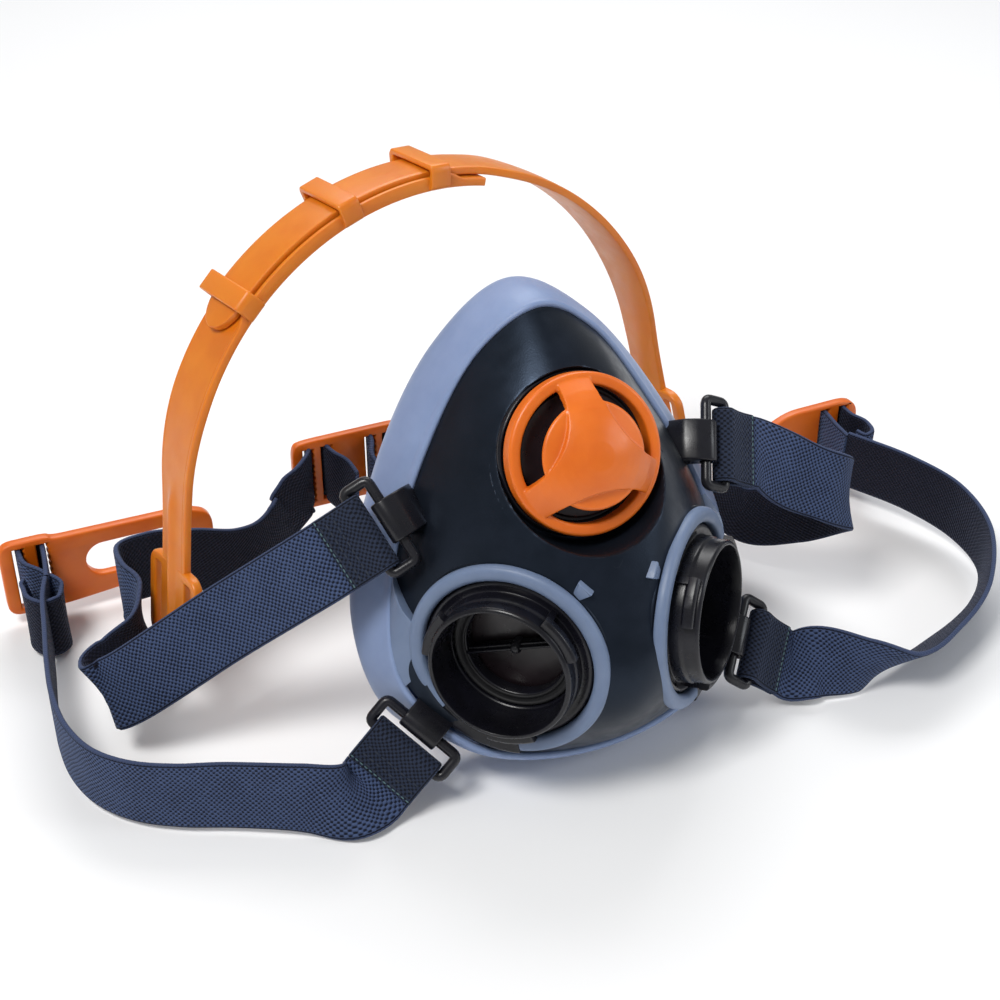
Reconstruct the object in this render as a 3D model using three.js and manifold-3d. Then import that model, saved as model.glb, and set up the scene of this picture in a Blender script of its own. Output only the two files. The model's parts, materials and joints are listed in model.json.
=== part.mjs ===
// Half-mask respirator with two bayonet inlets, an exhale valve and a four-point strap harness.
// Millimetres, +Z up. The front of the mask faces -Y, and it leans back with its chin on the floor.
import * as THREE from "three";
import { mergeVertices } from "three/addons/utils/BufferGeometryUtils.js";
import Module from "manifold-3d";

const wasm = await Module();
wasm.setup();

// ---------- driving dimensions ----------
// Everything is laid out about the middle of the exhale cover's face, and moved to its base last.
const LEAN = 27.7; // degrees the mask leans back
const GAP = 0.3; // clearance between neighbouring pieces

// Half outlines from the nose round one cheek to the chin, in the upright mask's frame:
// x across, y back from the exhale cover's face, z up from the cover's centre.
const SHELL_EDGE = [
  [0, 13.5, 36.4], [15.1, 19.3, 28.6], [30, 27.3, 7.9], [43.3, 32.8, -20.7],
  [47.7, 32.3, -49.6], [32.8, 27.9, -70.8], [0, 25.6, -78.7],
];
const REAR_RIM = [
  [0, 32, 44], [21, 37, 31.5], [42, 43.5, 0.8], [54, 46, -34],
  [48.5, 47, -61.5], [27, 46, -73.5], [0, 45, -76.5],
];
const OUTLINE_STEPS = 42;
// How sharply the shell turns over towards its edge at each of those outline points.
const EDGE_SHARPNESS = [5, 4.5, 3.5, 2.4, 1.4, 1.7, 6];
const DOME_CENTRE_Z = -30;
const CREST = { y: -6.7, z: -45, fall: 0.0016 }; // foremost line of the shell
const SHELL_WALL = 2.4;
const SEAL_WALL = 2.2;
const SEAL_LIP = 13; // how far the face lip turns in

const COVER_R = 20;
const COVER_RING_W = 3.1;
const COVER_DEPTH = 5;
const COVER_RISE = 9; // how far its middle stands in front of its rim
const COVER_DISC_R = 13.3;
const DISH_R = 24.5;
const DISH_FLOOR = 8;
const VALVE_TUBE_R = 16.4;

const INLET_CENTRE = [25.5, 11.6, -46.8]; // right inlet, upright mask's frame
const INLET_NORMAL = [0.678, -0.701, -0.223];
const COLLAR_R = 26.15;
const COLLAR_BORE_R = 22.1;
const CONNECTOR_R = 21.8;
const TUBE_R = 19;
const TUBE_REACH = 8;
const TUBE_BACK = 9;
const LUG_ANGLES = [20, 140, 260];
const EAR = { angle: 305, half: 27, radius: 27 }; // flange ear, degrees from the cheek side
const TAB = { angle: 12, width: 14, length: 9 }; // web from the collar to the seal

const STRAP_W = 20;
const STRAP_T = 1.6;
const BAR_R = 1.4;
const BUCKLE_W = 26;
const BAR_SPACING = 7;
const SEWN_END = 17; // from the buckle's inner bar to the end of the sewn loop
const STRAP_STARTS = [18, 22];
// Right-hand buckles: the inner bar's centre, away from the mask, and across the strap.
const BUCKLES = {
  upper: { at: [44, 18.1, -18.6], run: [0.86, 0.1, -0.47], across: [0.323, 0.659, 0.679] },
  lower: { at: [45.6, -3, -69.2], run: [0.763, -0.15, -0.631], across: [0.56, 0.644, 0.524] },
};

const CROWN = {
  foot: [-14.2, 65.5, -78.6], // midpoint between the two feet
  lean: 6.4, yaw: 11.4, // degrees
  radius: 75, rise: 45, // arc radius, and its centre's height over the feet
  width: 17.5, legWidth: 13, thick: 2.2,
  arcFrom: 10, arcTo: 170, // degrees; each leg runs on straight, measured in the same units
  leftEnd: 74, tongueEnd: 138, legs: 31,
  keepers: [85, 105, 131],
};
const LAYER_GAP = 0.4;
const KEEPER = { half: 3, width: 22.5, wall: 1.6 };
const PADDLE = { length: 26, width: 27, thick: 2.6, slot: [20.5, 3.6], slotAt: 8.6 };

// Flat harness plates: the middle, [width, height, thickness], and the strap slots' places.
const SLOT = [3.2, 21];
const REAR_PLATE = { at: [-25.5, 107, -62], size: [36, 24, 2.5], slots: [-13, -7.4, 6.4, 12] };
const NECK_LOOP = { at: [-100, 108, -74.5], size: [62, 25, 3], slots: [-25.4, -18.6] };
const NECK_HOOK = { at: [118, 80, -74], size: [36, 24, 3], slots: [6, 12.8] };
const WINDOW = { x: 8, width: 30, height: 11 };

// Strap runs as [x, y, z, across x, y, z]: places along the middle, and the way across the webbing.
// The first four carry on from a buckle.
const UPPER_LEFT = [
  [-85, 31.5, -48, 0.32, -0.66, -0.68], [-112, 42, -69.5, 0.32, -0.66, -0.68],
  [-115.8, 44.9, -72, 0.32, -0.66, -0.68], [-114.6, 49.6, -72, 0.25, -0.5, -0.8],
  [-108, 52.6, -69, 0.15, -0.3, -0.94], [-102.6, 57.2, -64, 0.05, -0.1, -0.98],
  [-101.4, 63, -60, 0, -0.05, -1], [-103.2, 68.4, -58, 0, -0.1, -1], [-102.4, 75, -58, 0, -0.1, -1],
  [-94.5, 79.6, -60, 0, -0.1, -1], [-82, 84, -65, 0, 0, -1], [-69, 87.5, -71, 0, 0, -1],
  [-59.5, 91, -72.5, 0, 0, -1], [-52.5, 95.5, -70.8, 0, 0, -1], [-48.5, 98.6, -68.2, 0, 0, -1],
];
const UPPER_RIGHT = [
  [74, 17, -37, -0.1, -0.3, -0.95], [85, 15, -43, 0, -0.2, -0.98], [91.5, 18.5, -49, 0, -0.15, -1],
  [92, 25, -55, 0, -0.1, -1], [86, 36, -65, 0, 0, -1], [77, 48, -71, 0, 0, -1],
  [72, 58, -67, 0, 0, -1],
];
const LOWER_LEFT = [
  [-68.5, -8, -81.5, 0.3, -0.45, -0.84], [-79, -4.2, -79.6, 0.1, -0.25, -0.97],
  [-95.5, 3.8, -79.4, 0, -0.15, -1], [-107, 8.6, -79.4, 0, -0.1, -1],
  [-117, 14.8, -79.4, 0, -0.05, -1], [-124.4, 23.5, -79.4, 0, 0, -1],
  [-128.3, 35, -79.4, 0, 0, -1], [-128.9, 48, -79.4, 0, 0, -1], [-127.4, 62, -79.3, 0, 0, -1],
  [-125, 76, -78.8, 0, 0, -1], [-122.8, 88, -77.5, 0, 0, -1], [-120, 96, -76, 0, 0, -1],
];
const LOWER_RIGHT = [
  [68.5, -10, -80.3, -0.3, -0.35, -0.88], [79, -17, -79.7, 0, 0.1, -1],
  [90, -18, -81.2, 0.25, 0.65, -0.7], [107, -12.5, -82, 0.28, 0.68, -0.66],
  [127, -2, -80.8, 0.25, 0.55, -0.8], [139.5, 12.5, -78.3, 0.1, 0.2, -0.97],
  [141.5, 30, -76.5, 0, 0, -1], [135.5, 47, -75, 0, 0, -1], [124.5, 66, -74.5, 0, 0, -1],
];
const UPPER_RIGHT_BACK = [
  [62, 99, -68, 0, 0, -1], [45, 106, -66, 0, 0, -1], [15, 112, -62, 0, 0, -1],
  [-7, 113.5, -62, 0, 0, -1],
];

// ---------- materials ----------
const finish = (color, roughness, metalness = 0) =>
  new THREE.MeshStandardMaterial({ color, roughness, metalness });
const GREY_TPE = finish(0x8a9ec2, 0.45);
const BLACK_PLASTIC = finish(0x14161c, 0.32);
const BLACK_RUBBER = finish(0x1b1b1e, 0.6);
const ORANGE_PLASTIC = finish(0xe8681c, 0.38);
const SILICONE = finish(0x8c8f92, 0.3);
const WEBBING = finish(0x4a5878, 0.85);

// ---------- general helpers ----------
const V = (x = 0, y = 0, z = 0) => new THREE.Vector3(x, y, z);
const vec = (a) => V(a[0], a[1], a[2]);
const rad = THREE.MathUtils.degToRad;

function signedVolume(position, index) {
  let sum = 0;
  const [a, b, c] = [V(), V(), V()];
  for (let i = 0; i < index.length; i += 3) {
    a.fromArray(position, 3 * index[i]);
    b.fromArray(position, 3 * index[i + 1]);
    c.fromArray(position, 3 * index[i + 2]);
    sum += a.dot(b.cross(c));
  }
  return sum;
}

// A closed mesh as a solid, with its faces turned outwards.
function solid(geometry) {
  const bare = new THREE.BufferGeometry();
  bare.setAttribute("position", geometry.getAttribute("position"));
  if (geometry.index) bare.setIndex(geometry.index);
  const merged = mergeVertices(bare, 1e-4);
  const vertProperties = new Float32Array(merged.attributes.position.array);
  const all = merged.index.array;
  const kept = [];
  for (let i = 0; i < all.length; i += 3) {
    const [a, b, c] = [all[i], all[i + 1], all[i + 2]];
    if (a !== b && b !== c && c !== a) kept.push(a, b, c);
  }
  if (signedVolume(vertProperties, kept) < 0) kept.reverse();
  const mesh = new wasm.Mesh({ numProp: 3, vertProperties, triVerts: new Uint32Array(kept) });
  return new wasm.Manifold(mesh);
}

function geometryOf(body) {
  const mesh = body.getMesh();
  const geometry = new THREE.BufferGeometry();
  geometry.setAttribute("position", new THREE.BufferAttribute(mesh.vertProperties, 3));
  geometry.setIndex(new THREE.BufferAttribute(mesh.triVerts, 1));
  return geometry;
}

const union = (bodies) => bodies.reduce((sum, body) => sum.add(body));
const place = (body, matrix) => solid(geometryOf(body).applyMatrix4(matrix));
const turn = (body, degrees) => place(body, new THREE.Matrix4().makeRotationZ(rad(degrees)));
const mirror = (body) => place(body, new THREE.Matrix4().makeScale(-1, 1, 1));
const largest = (body) => body.decompose().sort((a, b) => b.volume() - a.volume())[0];

// A rigid frame from its origin and the directions of its X and Z.
function frame(origin, xAxis, zAxis) {
  const z = zAxis.clone().normalize();
  const y = z.clone().cross(xAxis).normalize();
  const x = y.clone().cross(z);
  return new THREE.Matrix4().makeBasis(x, y, z).setPosition(origin);
}

// A skin over a row of equal loops. It closes on itself, or gets a fan at each end.
function skin(loops, closed = false) {
  const n = loops[0].length;
  const position = loops.flat().flatMap((p) => [p.x, p.y, p.z]);
  const index = [];
  const rows = closed ? loops.length : loops.length - 1;
  for (let i = 0; i < rows; i++) {
    const here = i * n;
    const next = ((i + 1) % loops.length) * n;
    for (let j = 0; j < n; j++) {
      const k = (j + 1) % n;
      index.push(here + j, here + k, next + k, here + j, next + k, next + j);
    }
  }
  if (!closed) {
    addFan(position, index, 0, n, true);
    addFan(position, index, loops.length - 1, n, false);
  }
  const geometry = new THREE.BufferGeometry();
  geometry.setAttribute("position", new THREE.Float32BufferAttribute(position, 3));
  geometry.setIndex(index);
  return solid(geometry);
}

function addFan(position, index, row, n, flip) {
  const hub = position.length / 3;
  const middle = V();
  for (let j = 0; j < n; j++) {
    middle.add(V().fromArray(position, 3 * (row * n + j)).divideScalar(n));
  }
  position.push(middle.x, middle.y, middle.z);
  for (let j = 0; j < n; j++) {
    const a = row * n + j;
    const b = row * n + ((j + 1) % n);
    index.push(hub, flip ? b : a, flip ? a : b);
  }
}

// A body turned about Z from its [radius, height] corners.
function turned(profile, segments = 32) {
  const points = profile.map(([r, z]) => new THREE.Vector2(r, z));
  const lathe = new THREE.LatheGeometry([...points, points[0]], segments);
  return solid(lathe.rotateX(Math.PI / 2));
}

const ring = (inner, outer, low, high, segments) =>
  turned([[inner, low], [outer, low], [outer, high], [inner, high]], segments);

const disc = (radius, low, high, segments) =>
  turned([[0, low], [radius, low], [radius, high], [0, high]], segments);

const box = (w, d, h, x = 0, y = 0, z = 0) =>
  solid(new THREE.BoxGeometry(w, d, h).translate(x, y, z));

function extruded(shape, low, high, curveSegments = 8) {
  const options = { depth: high - low, bevelEnabled: false, curveSegments };
  return solid(new THREE.ExtrudeGeometry(shape, options).translate(0, 0, low));
}

// A piece of a flat ring between two angles, in degrees.
function sector(inner, outer, from, to, low, high, curveSegments) {
  const shape = new THREE.Shape();
  shape.absarc(0, 0, outer, rad(from), rad(to), false);
  shape.absarc(0, 0, inner, rad(to), rad(from), true);
  shape.closePath();
  return extruded(shape, low, high, curveSegments);
}

function roundedRectangle(width, height, radius) {
  const [x, y] = [width / 2 - radius, height / 2 - radius];
  const shape = new THREE.Shape();
  shape.absarc(x, y, radius, 0, rad(90), false);
  shape.absarc(-x, y, radius, rad(90), rad(180), false);
  shape.absarc(-x, -y, radius, rad(180), rad(270), false);
  shape.absarc(x, -y, radius, rad(270), rad(360), false);
  shape.closePath();
  return shape;
}

// ---------- the mask's surfaces, in the upright mask's frame ----------
function outlinePoints(half) {
  const mirrored = half.slice(1, -1).reverse().map(([x, y, z]) => [-x, y, z]);
  const points = [...half, ...mirrored].map(vec);
  const curve = new THREE.CatmullRomCurve3(points, true, "centripetal");
  return Array.from({ length: OUTLINE_STEPS }, (_, i) => curve.getPoint(i / OUTLINE_STEPS));
}

const edgePoints = outlinePoints(SHELL_EDGE);
const rimPoints = outlinePoints(REAR_RIM);
const crestY = (z) => CREST.y + CREST.fall * (z - CREST.z) ** 2;

function sharpnessAt(i) {
  const round = i / OUTLINE_STEPS;
  const last = EDGE_SHARPNESS.length - 1;
  const along = 2 * last * Math.min(round, 1 - round);
  const low = Math.min(Math.floor(along), last - 1);
  return THREE.MathUtils.lerp(EDGE_SHARPNESS[low], EDGE_SHARPNESS[low + 1], along - low);
}

// A point of the dome: t is 0 in the middle and 1 on the shell's edge.
function domePoint(i, t, inset) {
  const edge = edgePoints[i];
  const reach = 1 - inset / Math.hypot(edge.x, edge.z - DOME_CENTRE_Z);
  const x = edge.x * t * reach;
  const z = DOME_CENTRE_Z + (edge.z - DOME_CENTRE_Z) * t * reach;
  const front = crestY(z) + inset;
  return V(x, front + (edge.y - front) * t ** sharpnessAt(i), z);
}

// The solid behind the dome, closed `deep` behind its edge.
function domeSolid(inset, deep) {
  const steps = [0.02, 0.25, 0.42, 0.56, 0.68, 0.78, 0.87, 0.94, 1];
  const loops = steps.map((t) => edgePoints.map((_, i) => domePoint(i, t, inset)));
  if (deep > 0) loops.push(loops.at(-1).map((p) => p.clone().add(V(0, deep, 0))));
  return skin(loops);
}

// Local Z points forwards out of the exhale valve, and local X to the right.
const valveFrame = frame(V(), V(1, 0, 0), V(0, -1, 0));

// Local Z points out of the right inlet, and local X towards the cheek.
function inletFrame() {
  const out = vec(INLET_NORMAL);
  return frame(vec(INLET_CENTRE), V(0, 0, 1).cross(out), out);
}

// ---------- face piece ----------
function frontShell() {
  const outer = domeSolid(0, 0);
  const right = (body) => place(body, inletFrame());
  const both = (body) => right(body).add(mirror(right(body)));
  const cup = place(disc(DISH_R + 2, -DISH_FLOOR - 2.4, 1), valveFrame).intersect(outer);
  const bosses = both(disc(COLLAR_R + 0.5, -8.5, -1.5));
  const body = union([outer.subtract(domeSolid(SHELL_WALL, 12)), cup, bosses]);
  const dish = turned([
    [0, -DISH_FLOOR], [DISH_R - 2, -DISH_FLOOR], [DISH_R, 2], [DISH_R, 30], [0, 30],
  ]);
  const throat = disc(VALVE_TUBE_R + GAP, -30, 0);
  const bores = both(disc(CONNECTOR_R + GAP, -30, 0).add(disc(COLLAR_R + 1.2, -1.5, 30)));
  return body.subtract(place(dish.add(throat), valveFrame)).subtract(bores);
}

// Steps outwards from the seal's middle, and backwards, from a point of an outline.
function sealStepper(i) {
  const out = V(rimPoints[i].x, 0, rimPoints[i].z - DOME_CENTRE_Z).normalize();
  return (base, outward, behind) =>
    base.clone().addScaledVector(out, outward).add(V(0, behind, 0));
}

// One cross-section of the seal: bead, band, rear rim, and the lip that turns in to the face.
function sealSection(i) {
  const at = sealStepper(i);
  const edge = edgePoints[i];
  const rim = rimPoints[i];
  const shoulder = at(edge.clone().lerp(rim, 0.5), 2.2, 0);
  const w = SEAL_WALL;
  return [
    at(edge, 0.4, 0.2), at(edge, 1.2, -0.7), at(edge, 1.9, 0.2), shoulder, at(rim, 0, -1.5),
    at(rim, -0.6, 0.9), at(rim, -SEAL_LIP / 2, 0.4), at(rim, -SEAL_LIP, -4.5),
    at(rim, -SEAL_LIP, -5.4), at(rim, -SEAL_LIP / 2, -w), at(rim, -w - 0.4, -w - 0.6),
    at(shoulder, -w, 0.8), at(edge, 0.4, w),
  ];
}

const faceSeal = () => skin(edgePoints.map((_, i) => sealSection(i)), true);

// The seal's outer form, grown to trim what rests on it.
function sealEnvelope() {
  const grow = 3 * GAP;
  const sections = edgePoints.map((edge, i) => {
    const at = sealStepper(i);
    const rim = rimPoints[i];
    const shoulder = at(edge.clone().lerp(rim, 0.5), 2.2 + grow, 0);
    return [
      at(edge, -6, -0.6), at(edge, 1.6, -0.8 - grow), at(edge, 2 + grow, 0), shoulder,
      at(rim, grow, 0), at(rim, -2, 3), at(rim, -12, 0),
    ];
  });
  return skin(sections, true);
}

// A grey ring round the inlet, open where the connector's ear covers it, with a web to the seal.
function inletCollar(envelope) {
  const profile = [
    [COLLAR_BORE_R, -1.2], [COLLAR_R, -1.2], [COLLAR_R, 0.6], [COLLAR_R - 0.8, 1.4],
    [COLLAR_R - 2, 1.7], [COLLAR_BORE_R + 0.8, 1.5], [COLLAR_BORE_R, 0.9],
  ];
  const ear = sector(20, 30, EAR.angle - EAR.half, EAR.angle + EAR.half, -5, 5);
  const web = turn(box(TAB.length, TAB.width, 1.8, COLLAR_R + TAB.length / 2 - 1), TAB.angle);
  const toLocal = inletFrame().invert();
  const clear = place(domeSolid(-GAP, 3), toLocal).subtract(disc(COLLAR_R, -5, 5));
  const outside = web.subtract(place(envelope, toLocal)).subtract(clear);
  return largest(turned(profile).add(largest(outside)).subtract(ear));
}

// ---------- exhale valve, local Z forwards ----------
function valveSeat() {
  const flange = turned([[14, -7.6], [22, -7.6], [22, -5.9], [21.2, -5.3], [14, -5.3]]);
  const tube = ring(14, VALVE_TUBE_R, -14, -7.2);
  const hub = ring(1.7, 4, -9, -6, 24);
  const spokes = [45, 135, 225, 315].map((angle) => turn(box(11.5, 1.8, 2.4, 8.9, 0, -7.8), angle));
  return union([flange, tube, hub, ...spokes]);
}

function exhaleFlap() {
  const barb = turned([[0, -12.5], [0.6, -12.5], [1.55, -10.8], [0, -10.8]], 16);
  return union([disc(15.4, -4.8, -4), disc(1.2, -11, -4.5, 16), barb]);
}

// The three-armed raised form: its arms climb from the rim to the middle.
function coverRidge() {
  const reach = COVER_R - 2;
  const half = rad(13);
  const waist = 4.5;
  const shape = new THREE.Shape();
  for (const degrees of [90, 210, 330]) {
    const tip = rad(degrees);
    const next = tip + rad(120) - half;
    const between = tip + rad(60);
    shape.absarc(0, 0, reach, tip - half, tip + half, false);
    shape.quadraticCurveTo(
      waist * Math.cos(between), waist * Math.sin(between),
      reach * Math.cos(next), reach * Math.sin(next));
  }
  const hood = turned([
    [0, 3.6], [12.5, 3.6], [17.2, -1.8], [19, -1.8], [19, -0.2], [15.5, 2.9], [11.5, 5.6],
    [7.5, 7.6], [3.5, 8.7], [0, COVER_RISE],
  ]);
  return extruded(shape, -3, 12, 5).intersect(hood);
}

function exhaleCover() {
  const inner = COVER_R - COVER_RING_W;
  const rim = turned([
    [inner, -COVER_DEPTH], [COVER_R, -COVER_DEPTH], [COVER_R, -1.2], [COVER_R - 1.2, 0],
    [inner + 0.9, 0], [inner, -0.8],
  ]);
  const centre = turned([
    [0, 3.4], [COVER_DISC_R - 0.5, 3.4], [COVER_DISC_R, 3.9], [COVER_DISC_R, 4.4],
    [COVER_DISC_R - 0.8, 5], [0, 6],
  ]);
  return union([rim, centre, coverRidge()]);
}

// ---------- inlet fittings, local Z outwards ----------
function connector() {
  const tube = turned([
    [16.4, -TUBE_BACK], [CONNECTOR_R, -TUBE_BACK], [CONNECTOR_R, 0.6], [TUBE_R, 0.9],
    [TUBE_R, TUBE_REACH - 0.6], [TUBE_R - 0.6, TUBE_REACH], [17.4, TUBE_REACH],
    [17.2, -4], [16.4, -4],
  ]);
  const seat = ring(13, 17, -TUBE_BACK, -6.4);
  const bar = box(28, 2.2, 2.2, 0, 0, -7.6);
  const pin = turned([[0, -8.6], [1.6, -8.6], [1.2, -4.2], [0, -3.8]], 12);
  const lugs = LUG_ANGLES.flatMap((angle) => [
    sector(TUBE_R - 1, TUBE_R + 1.7, angle, angle + 36, 4.2, 6.8, 4),
    sector(TUBE_R - 1, TUBE_R + 1.7, angle, angle + 6, 0.4, 6.6, 2),
  ]);
  const [from, to] = [EAR.angle - EAR.half + 0.8, EAR.angle + EAR.half - 0.8];
  const ear = sector(20, EAR.radius, from, to, -1.1, 1.2);
  return union([tube, seat, bar, pin, ...lugs, ear]);
}

const lockRing = () => ring(18.4, 23, -11.6, -9.3, 32);
const faceGasket = () => ring(13.4, 16.1, -6.1, -4.6, 32);
const inhaleFlap = () => union([disc(15.6, -10.2, -9.4, 32), disc(1.6, -11.6, -9.8, 12)]);

// ---------- harness ----------
// A band of webbing along a strap run.
function webbing(run, width, thickness, steps) {
  const path = new THREE.CatmullRomCurve3(run.map(vec), false, "centripetal");
  const ways = run.map((c) => V(c[3], c[4], c[5]).normalize());
  const across = new THREE.CatmullRomCurve3(ways, false, "centripetal");
  const loops = [];
  for (let i = 0; i <= steps; i++) {
    const along = path.getTangent(i / steps);
    const w = across.getPoint(i / steps);
    w.addScaledVector(along, -w.dot(along)).setLength(width / 2);
    const n = along.clone().cross(w).setLength(thickness / 2);
    const middle = path.getPoint(i / steps);
    const corner = (a, b) => middle.clone().addScaledVector(w, a).addScaledVector(n, b);
    loops.push([corner(-1, -1), corner(1, -1), corner(1, 1), corner(-1, 1)]);
  }
  return skin(loops);
}

// A buckle's frame on the right: X away from the mask, Y across the strap and Z outwards.
function buckleFrame({ at, run, across }) {
  return frame(vec(at), vec(run), vec(run).cross(vec(across)));
}

// A strap's run with the stretch that leaves its buckle put in front.
function fromBuckle(level, side, run) {
  const { at, run: away, across } = BUCKLES[level];
  const s = side === "left" ? -1 : 1;
  const lead = STRAP_STARTS.map((distance) => {
    const p = vec(at).addScaledVector(vec(away).normalize(), distance);
    return [s * p.x, p.y, p.z, -s * across[0], -across[1], -across[2]];
  });
  return [...lead, ...run];
}

function buckle() {
  const bar = (x) => {
    const rod = new THREE.CylinderGeometry(BAR_R, BAR_R, BUCKLE_W, 12);
    return solid(rod.translate(x, 0, 0));
  };
  const side = (s) =>
    box(BAR_SPACING + 2 * BAR_R, 2, 2 * BAR_R, BAR_SPACING / 2, s * (BUCKLE_W / 2 - 1), 0);
  return union([bar(0), bar(BAR_SPACING), side(1), side(-1)]);
}

// An outline in the plane across a buckle's bars, given the strap's width.
function acrossBars(shape, width) {
  const options = { depth: width, bevelEnabled: false, curveSegments: 8 };
  const geometry = new THREE.ExtrudeGeometry(shape, options).translate(0, 0, -width / 2);
  return solid(geometry.rotateX(Math.PI / 2));
}

// The strap's end, folded round the buckle's outer bar and sewn to itself.
function sewnLoop() {
  const shape = new THREE.Shape();
  shape.absarc(BAR_SPACING, 0, BAR_R + GAP + STRAP_T, rad(90), rad(270), false);
  shape.lineTo(SEWN_END - 4, -STRAP_T);
  shape.lineTo(SEWN_END, -STRAP_T);
  shape.lineTo(SEWN_END, STRAP_T);
  shape.lineTo(SEWN_END - 4, STRAP_T);
  shape.closePath();
  const eye = new THREE.Path();
  eye.absarc(BAR_SPACING, 0, BAR_R + GAP, 0, 2 * Math.PI, false);
  shape.holes.push(eye);
  return acrossBars(shape, STRAP_W);
}

// The hook beside the seal that holds a buckle's inner bar, trimmed to the mask behind it.
function strapAnchor(level, faceSolid) {
  const shape = new THREE.Shape();
  shape.absarc(0, 0, BAR_R + GAP + 1.4, rad(-60), rad(110), false);
  shape.lineTo(-7, 0);
  shape.lineTo(-9, -9);
  shape.lineTo(-1, -9);
  shape.closePath();
  const hole = new THREE.Path();
  hole.absarc(0, 0, BAR_R + GAP, 0, 2 * Math.PI, false);
  shape.holes.push(hole);
  const toLocal = buckleFrame(BUCKLES[level]).invert();
  return largest(acrossBars(shape, 12).subtract(place(faceSolid, toLocal)));
}

// Everything of the mask that a strap anchor sits beside, in the lying mask's frame.
function maskBulk(envelope) {
  const inlet = place(disc(COLLAR_R + 1.6, -14, 5, 32), inletFrame());
  const bulk = union([envelope, domeSolid(-GAP, 6), inlet]);
  return place(bulk, new THREE.Matrix4().makeRotationX(-rad(LEAN)));
}

// ---------- crown band; its frame has X along the feet, Y up the arch and Z forwards ----------
function crownFrame() {
  const yaw = new THREE.Matrix4().makeRotationZ(rad(CROWN.yaw));
  const up = V(0, Math.sin(rad(CROWN.lean)), Math.cos(rad(CROWN.lean))).applyMatrix4(yaw);
  const x = V(1, 0, 0).applyMatrix4(yaw);
  return frame(vec(CROWN.foot), x, x.clone().cross(up));
}

// The middle of the arch at an angle, and the way out from its centre. Past the arc it runs straight.
function crownAt(angle) {
  const on = THREE.MathUtils.clamp(angle, CROWN.arcFrom, CROWN.arcTo);
  const out = V(Math.cos(rad(on)), Math.sin(rad(on)), 0);
  const along = V(-out.y, out.x, 0);
  const middle = out.clone().multiplyScalar(CROWN.radius).add(V(0, CROWN.rise, 0));
  return { out, along, middle: middle.addScaledVector(along, CROWN.radius * rad(angle - on)) };
}

function crownWidth(angle) {
  const outside = Math.max(CROWN.arcFrom + 20 - angle, angle - CROWN.arcTo + 20, 0);
  return THREE.MathUtils.lerp(CROWN.width, CROWN.legWidth, Math.min(outside / 30, 1));
}

function crownBand(from, to, lift) {
  const loops = [];
  const steps = Math.round((to - from) / 6);
  for (let i = 0; i <= steps; i++) {
    const angle = from + ((to - from) * i) / steps;
    const { out, middle } = crownAt(angle);
    const w = V(0, 0, crownWidth(angle) / 2);
    const corner = (a, b) =>
      middle.clone().addScaledVector(w, a).addScaledVector(out, lift + (b * CROWN.thick) / 2);
    loops.push([corner(-1, -1), corner(1, -1), corner(1, 1), corner(-1, 1)]);
  }
  return skin(loops);
}

// The flat foot of a leg, with a slot on each side of it for the strap.
function crownPaddle(angle, lift) {
  const { out, along, middle } = crownAt(angle);
  const half = PADDLE.thick / 2;
  const plate = extruded(roundedRectangle(PADDLE.length, PADDLE.width, 3), -half, half, 3);
  const [long, wide] = PADDLE.slot;
  const slots = [-PADDLE.slotAt, PADDLE.slotAt].map((y) => box(long, wide, 9, 0, y));
  const at = frame(middle.addScaledVector(out, lift), along, out);
  return place(plate.subtract(union(slots)), at);
}

function crownKeeper(angle) {
  const low = CROWN.radius - CROWN.thick / 2;
  const roof = CROWN.radius + CROWN.thick * 1.5 + 2 * LAYER_GAP;
  const [from, to] = [angle - KEEPER.half, angle + KEEPER.half];
  const w = KEEPER.width / 2;
  const block = sector(low, roof + KEEPER.wall, from, to, -w, w, 3);
  const channel = sector(low + CROWN.thick, roof, from - 2, to + 2, -w + 2, w - 2, 4);
  return place(block.subtract(channel), new THREE.Matrix4().makeTranslation(0, CROWN.rise, 0));
}

function crownLeft() {
  const far = 180 + CROWN.legs - 10;
  const parts = [crownBand(CROWN.leftEnd, far, 0), crownPaddle(far - 4, 0)];
  return union([...parts, ...CROWN.keepers.map(crownKeeper)]);
}

function crownRight() {
  const lift = CROWN.thick + LAYER_GAP;
  const far = 10 - CROWN.legs;
  return union([crownBand(far, CROWN.tongueEnd, lift), crownPaddle(far + 4, lift)]);
}

// ---------- flat harness plates, local Z backwards ----------
function slottedPlate({ size, slots }) {
  const [width, height, thick] = size;
  const plate = extruded(roundedRectangle(width, height, 4), -thick / 2, thick / 2, 4);
  const cuts = slots.map((x) => box(SLOT[0], Math.min(SLOT[1], height - 4), 9, x));
  return plate.subtract(union(cuts));
}

function neckLoop() {
  const hole = extruded(roundedRectangle(WINDOW.width, WINDOW.height, 5), -9, 9, 5);
  const moved = new THREE.Matrix4().makeTranslation(WINDOW.x, 0, 0);
  return slottedPlate(NECK_LOOP).subtract(place(hole, moved));
}

// The hook half: its tongue turns back on itself to catch the loop half's window.
function neckHook() {
  const [width, , thick] = NECK_HOOK.size;
  const x = -width / 2;
  const shape = new THREE.Shape();
  shape.moveTo(x + 4, thick / 2);
  shape.lineTo(x - 5, thick / 2);
  shape.absarc(x - 5, thick + 1, thick / 2 + 1, rad(270), rad(90), true);
  shape.lineTo(x + 1, thick * 1.5 + 2);
  shape.lineTo(x + 1, thick * 1.5 + 4.2);
  shape.lineTo(x - 5, thick * 1.5 + 4.6);
  shape.absarc(x - 5, thick + 1, thick * 1.2 + 1, rad(90), rad(270), false);
  shape.lineTo(x + 4, -thick / 2);
  shape.closePath();
  const hook = acrossBars(shape, 9);
  return slottedPlate(NECK_HOOK).add(hook);
}

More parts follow.
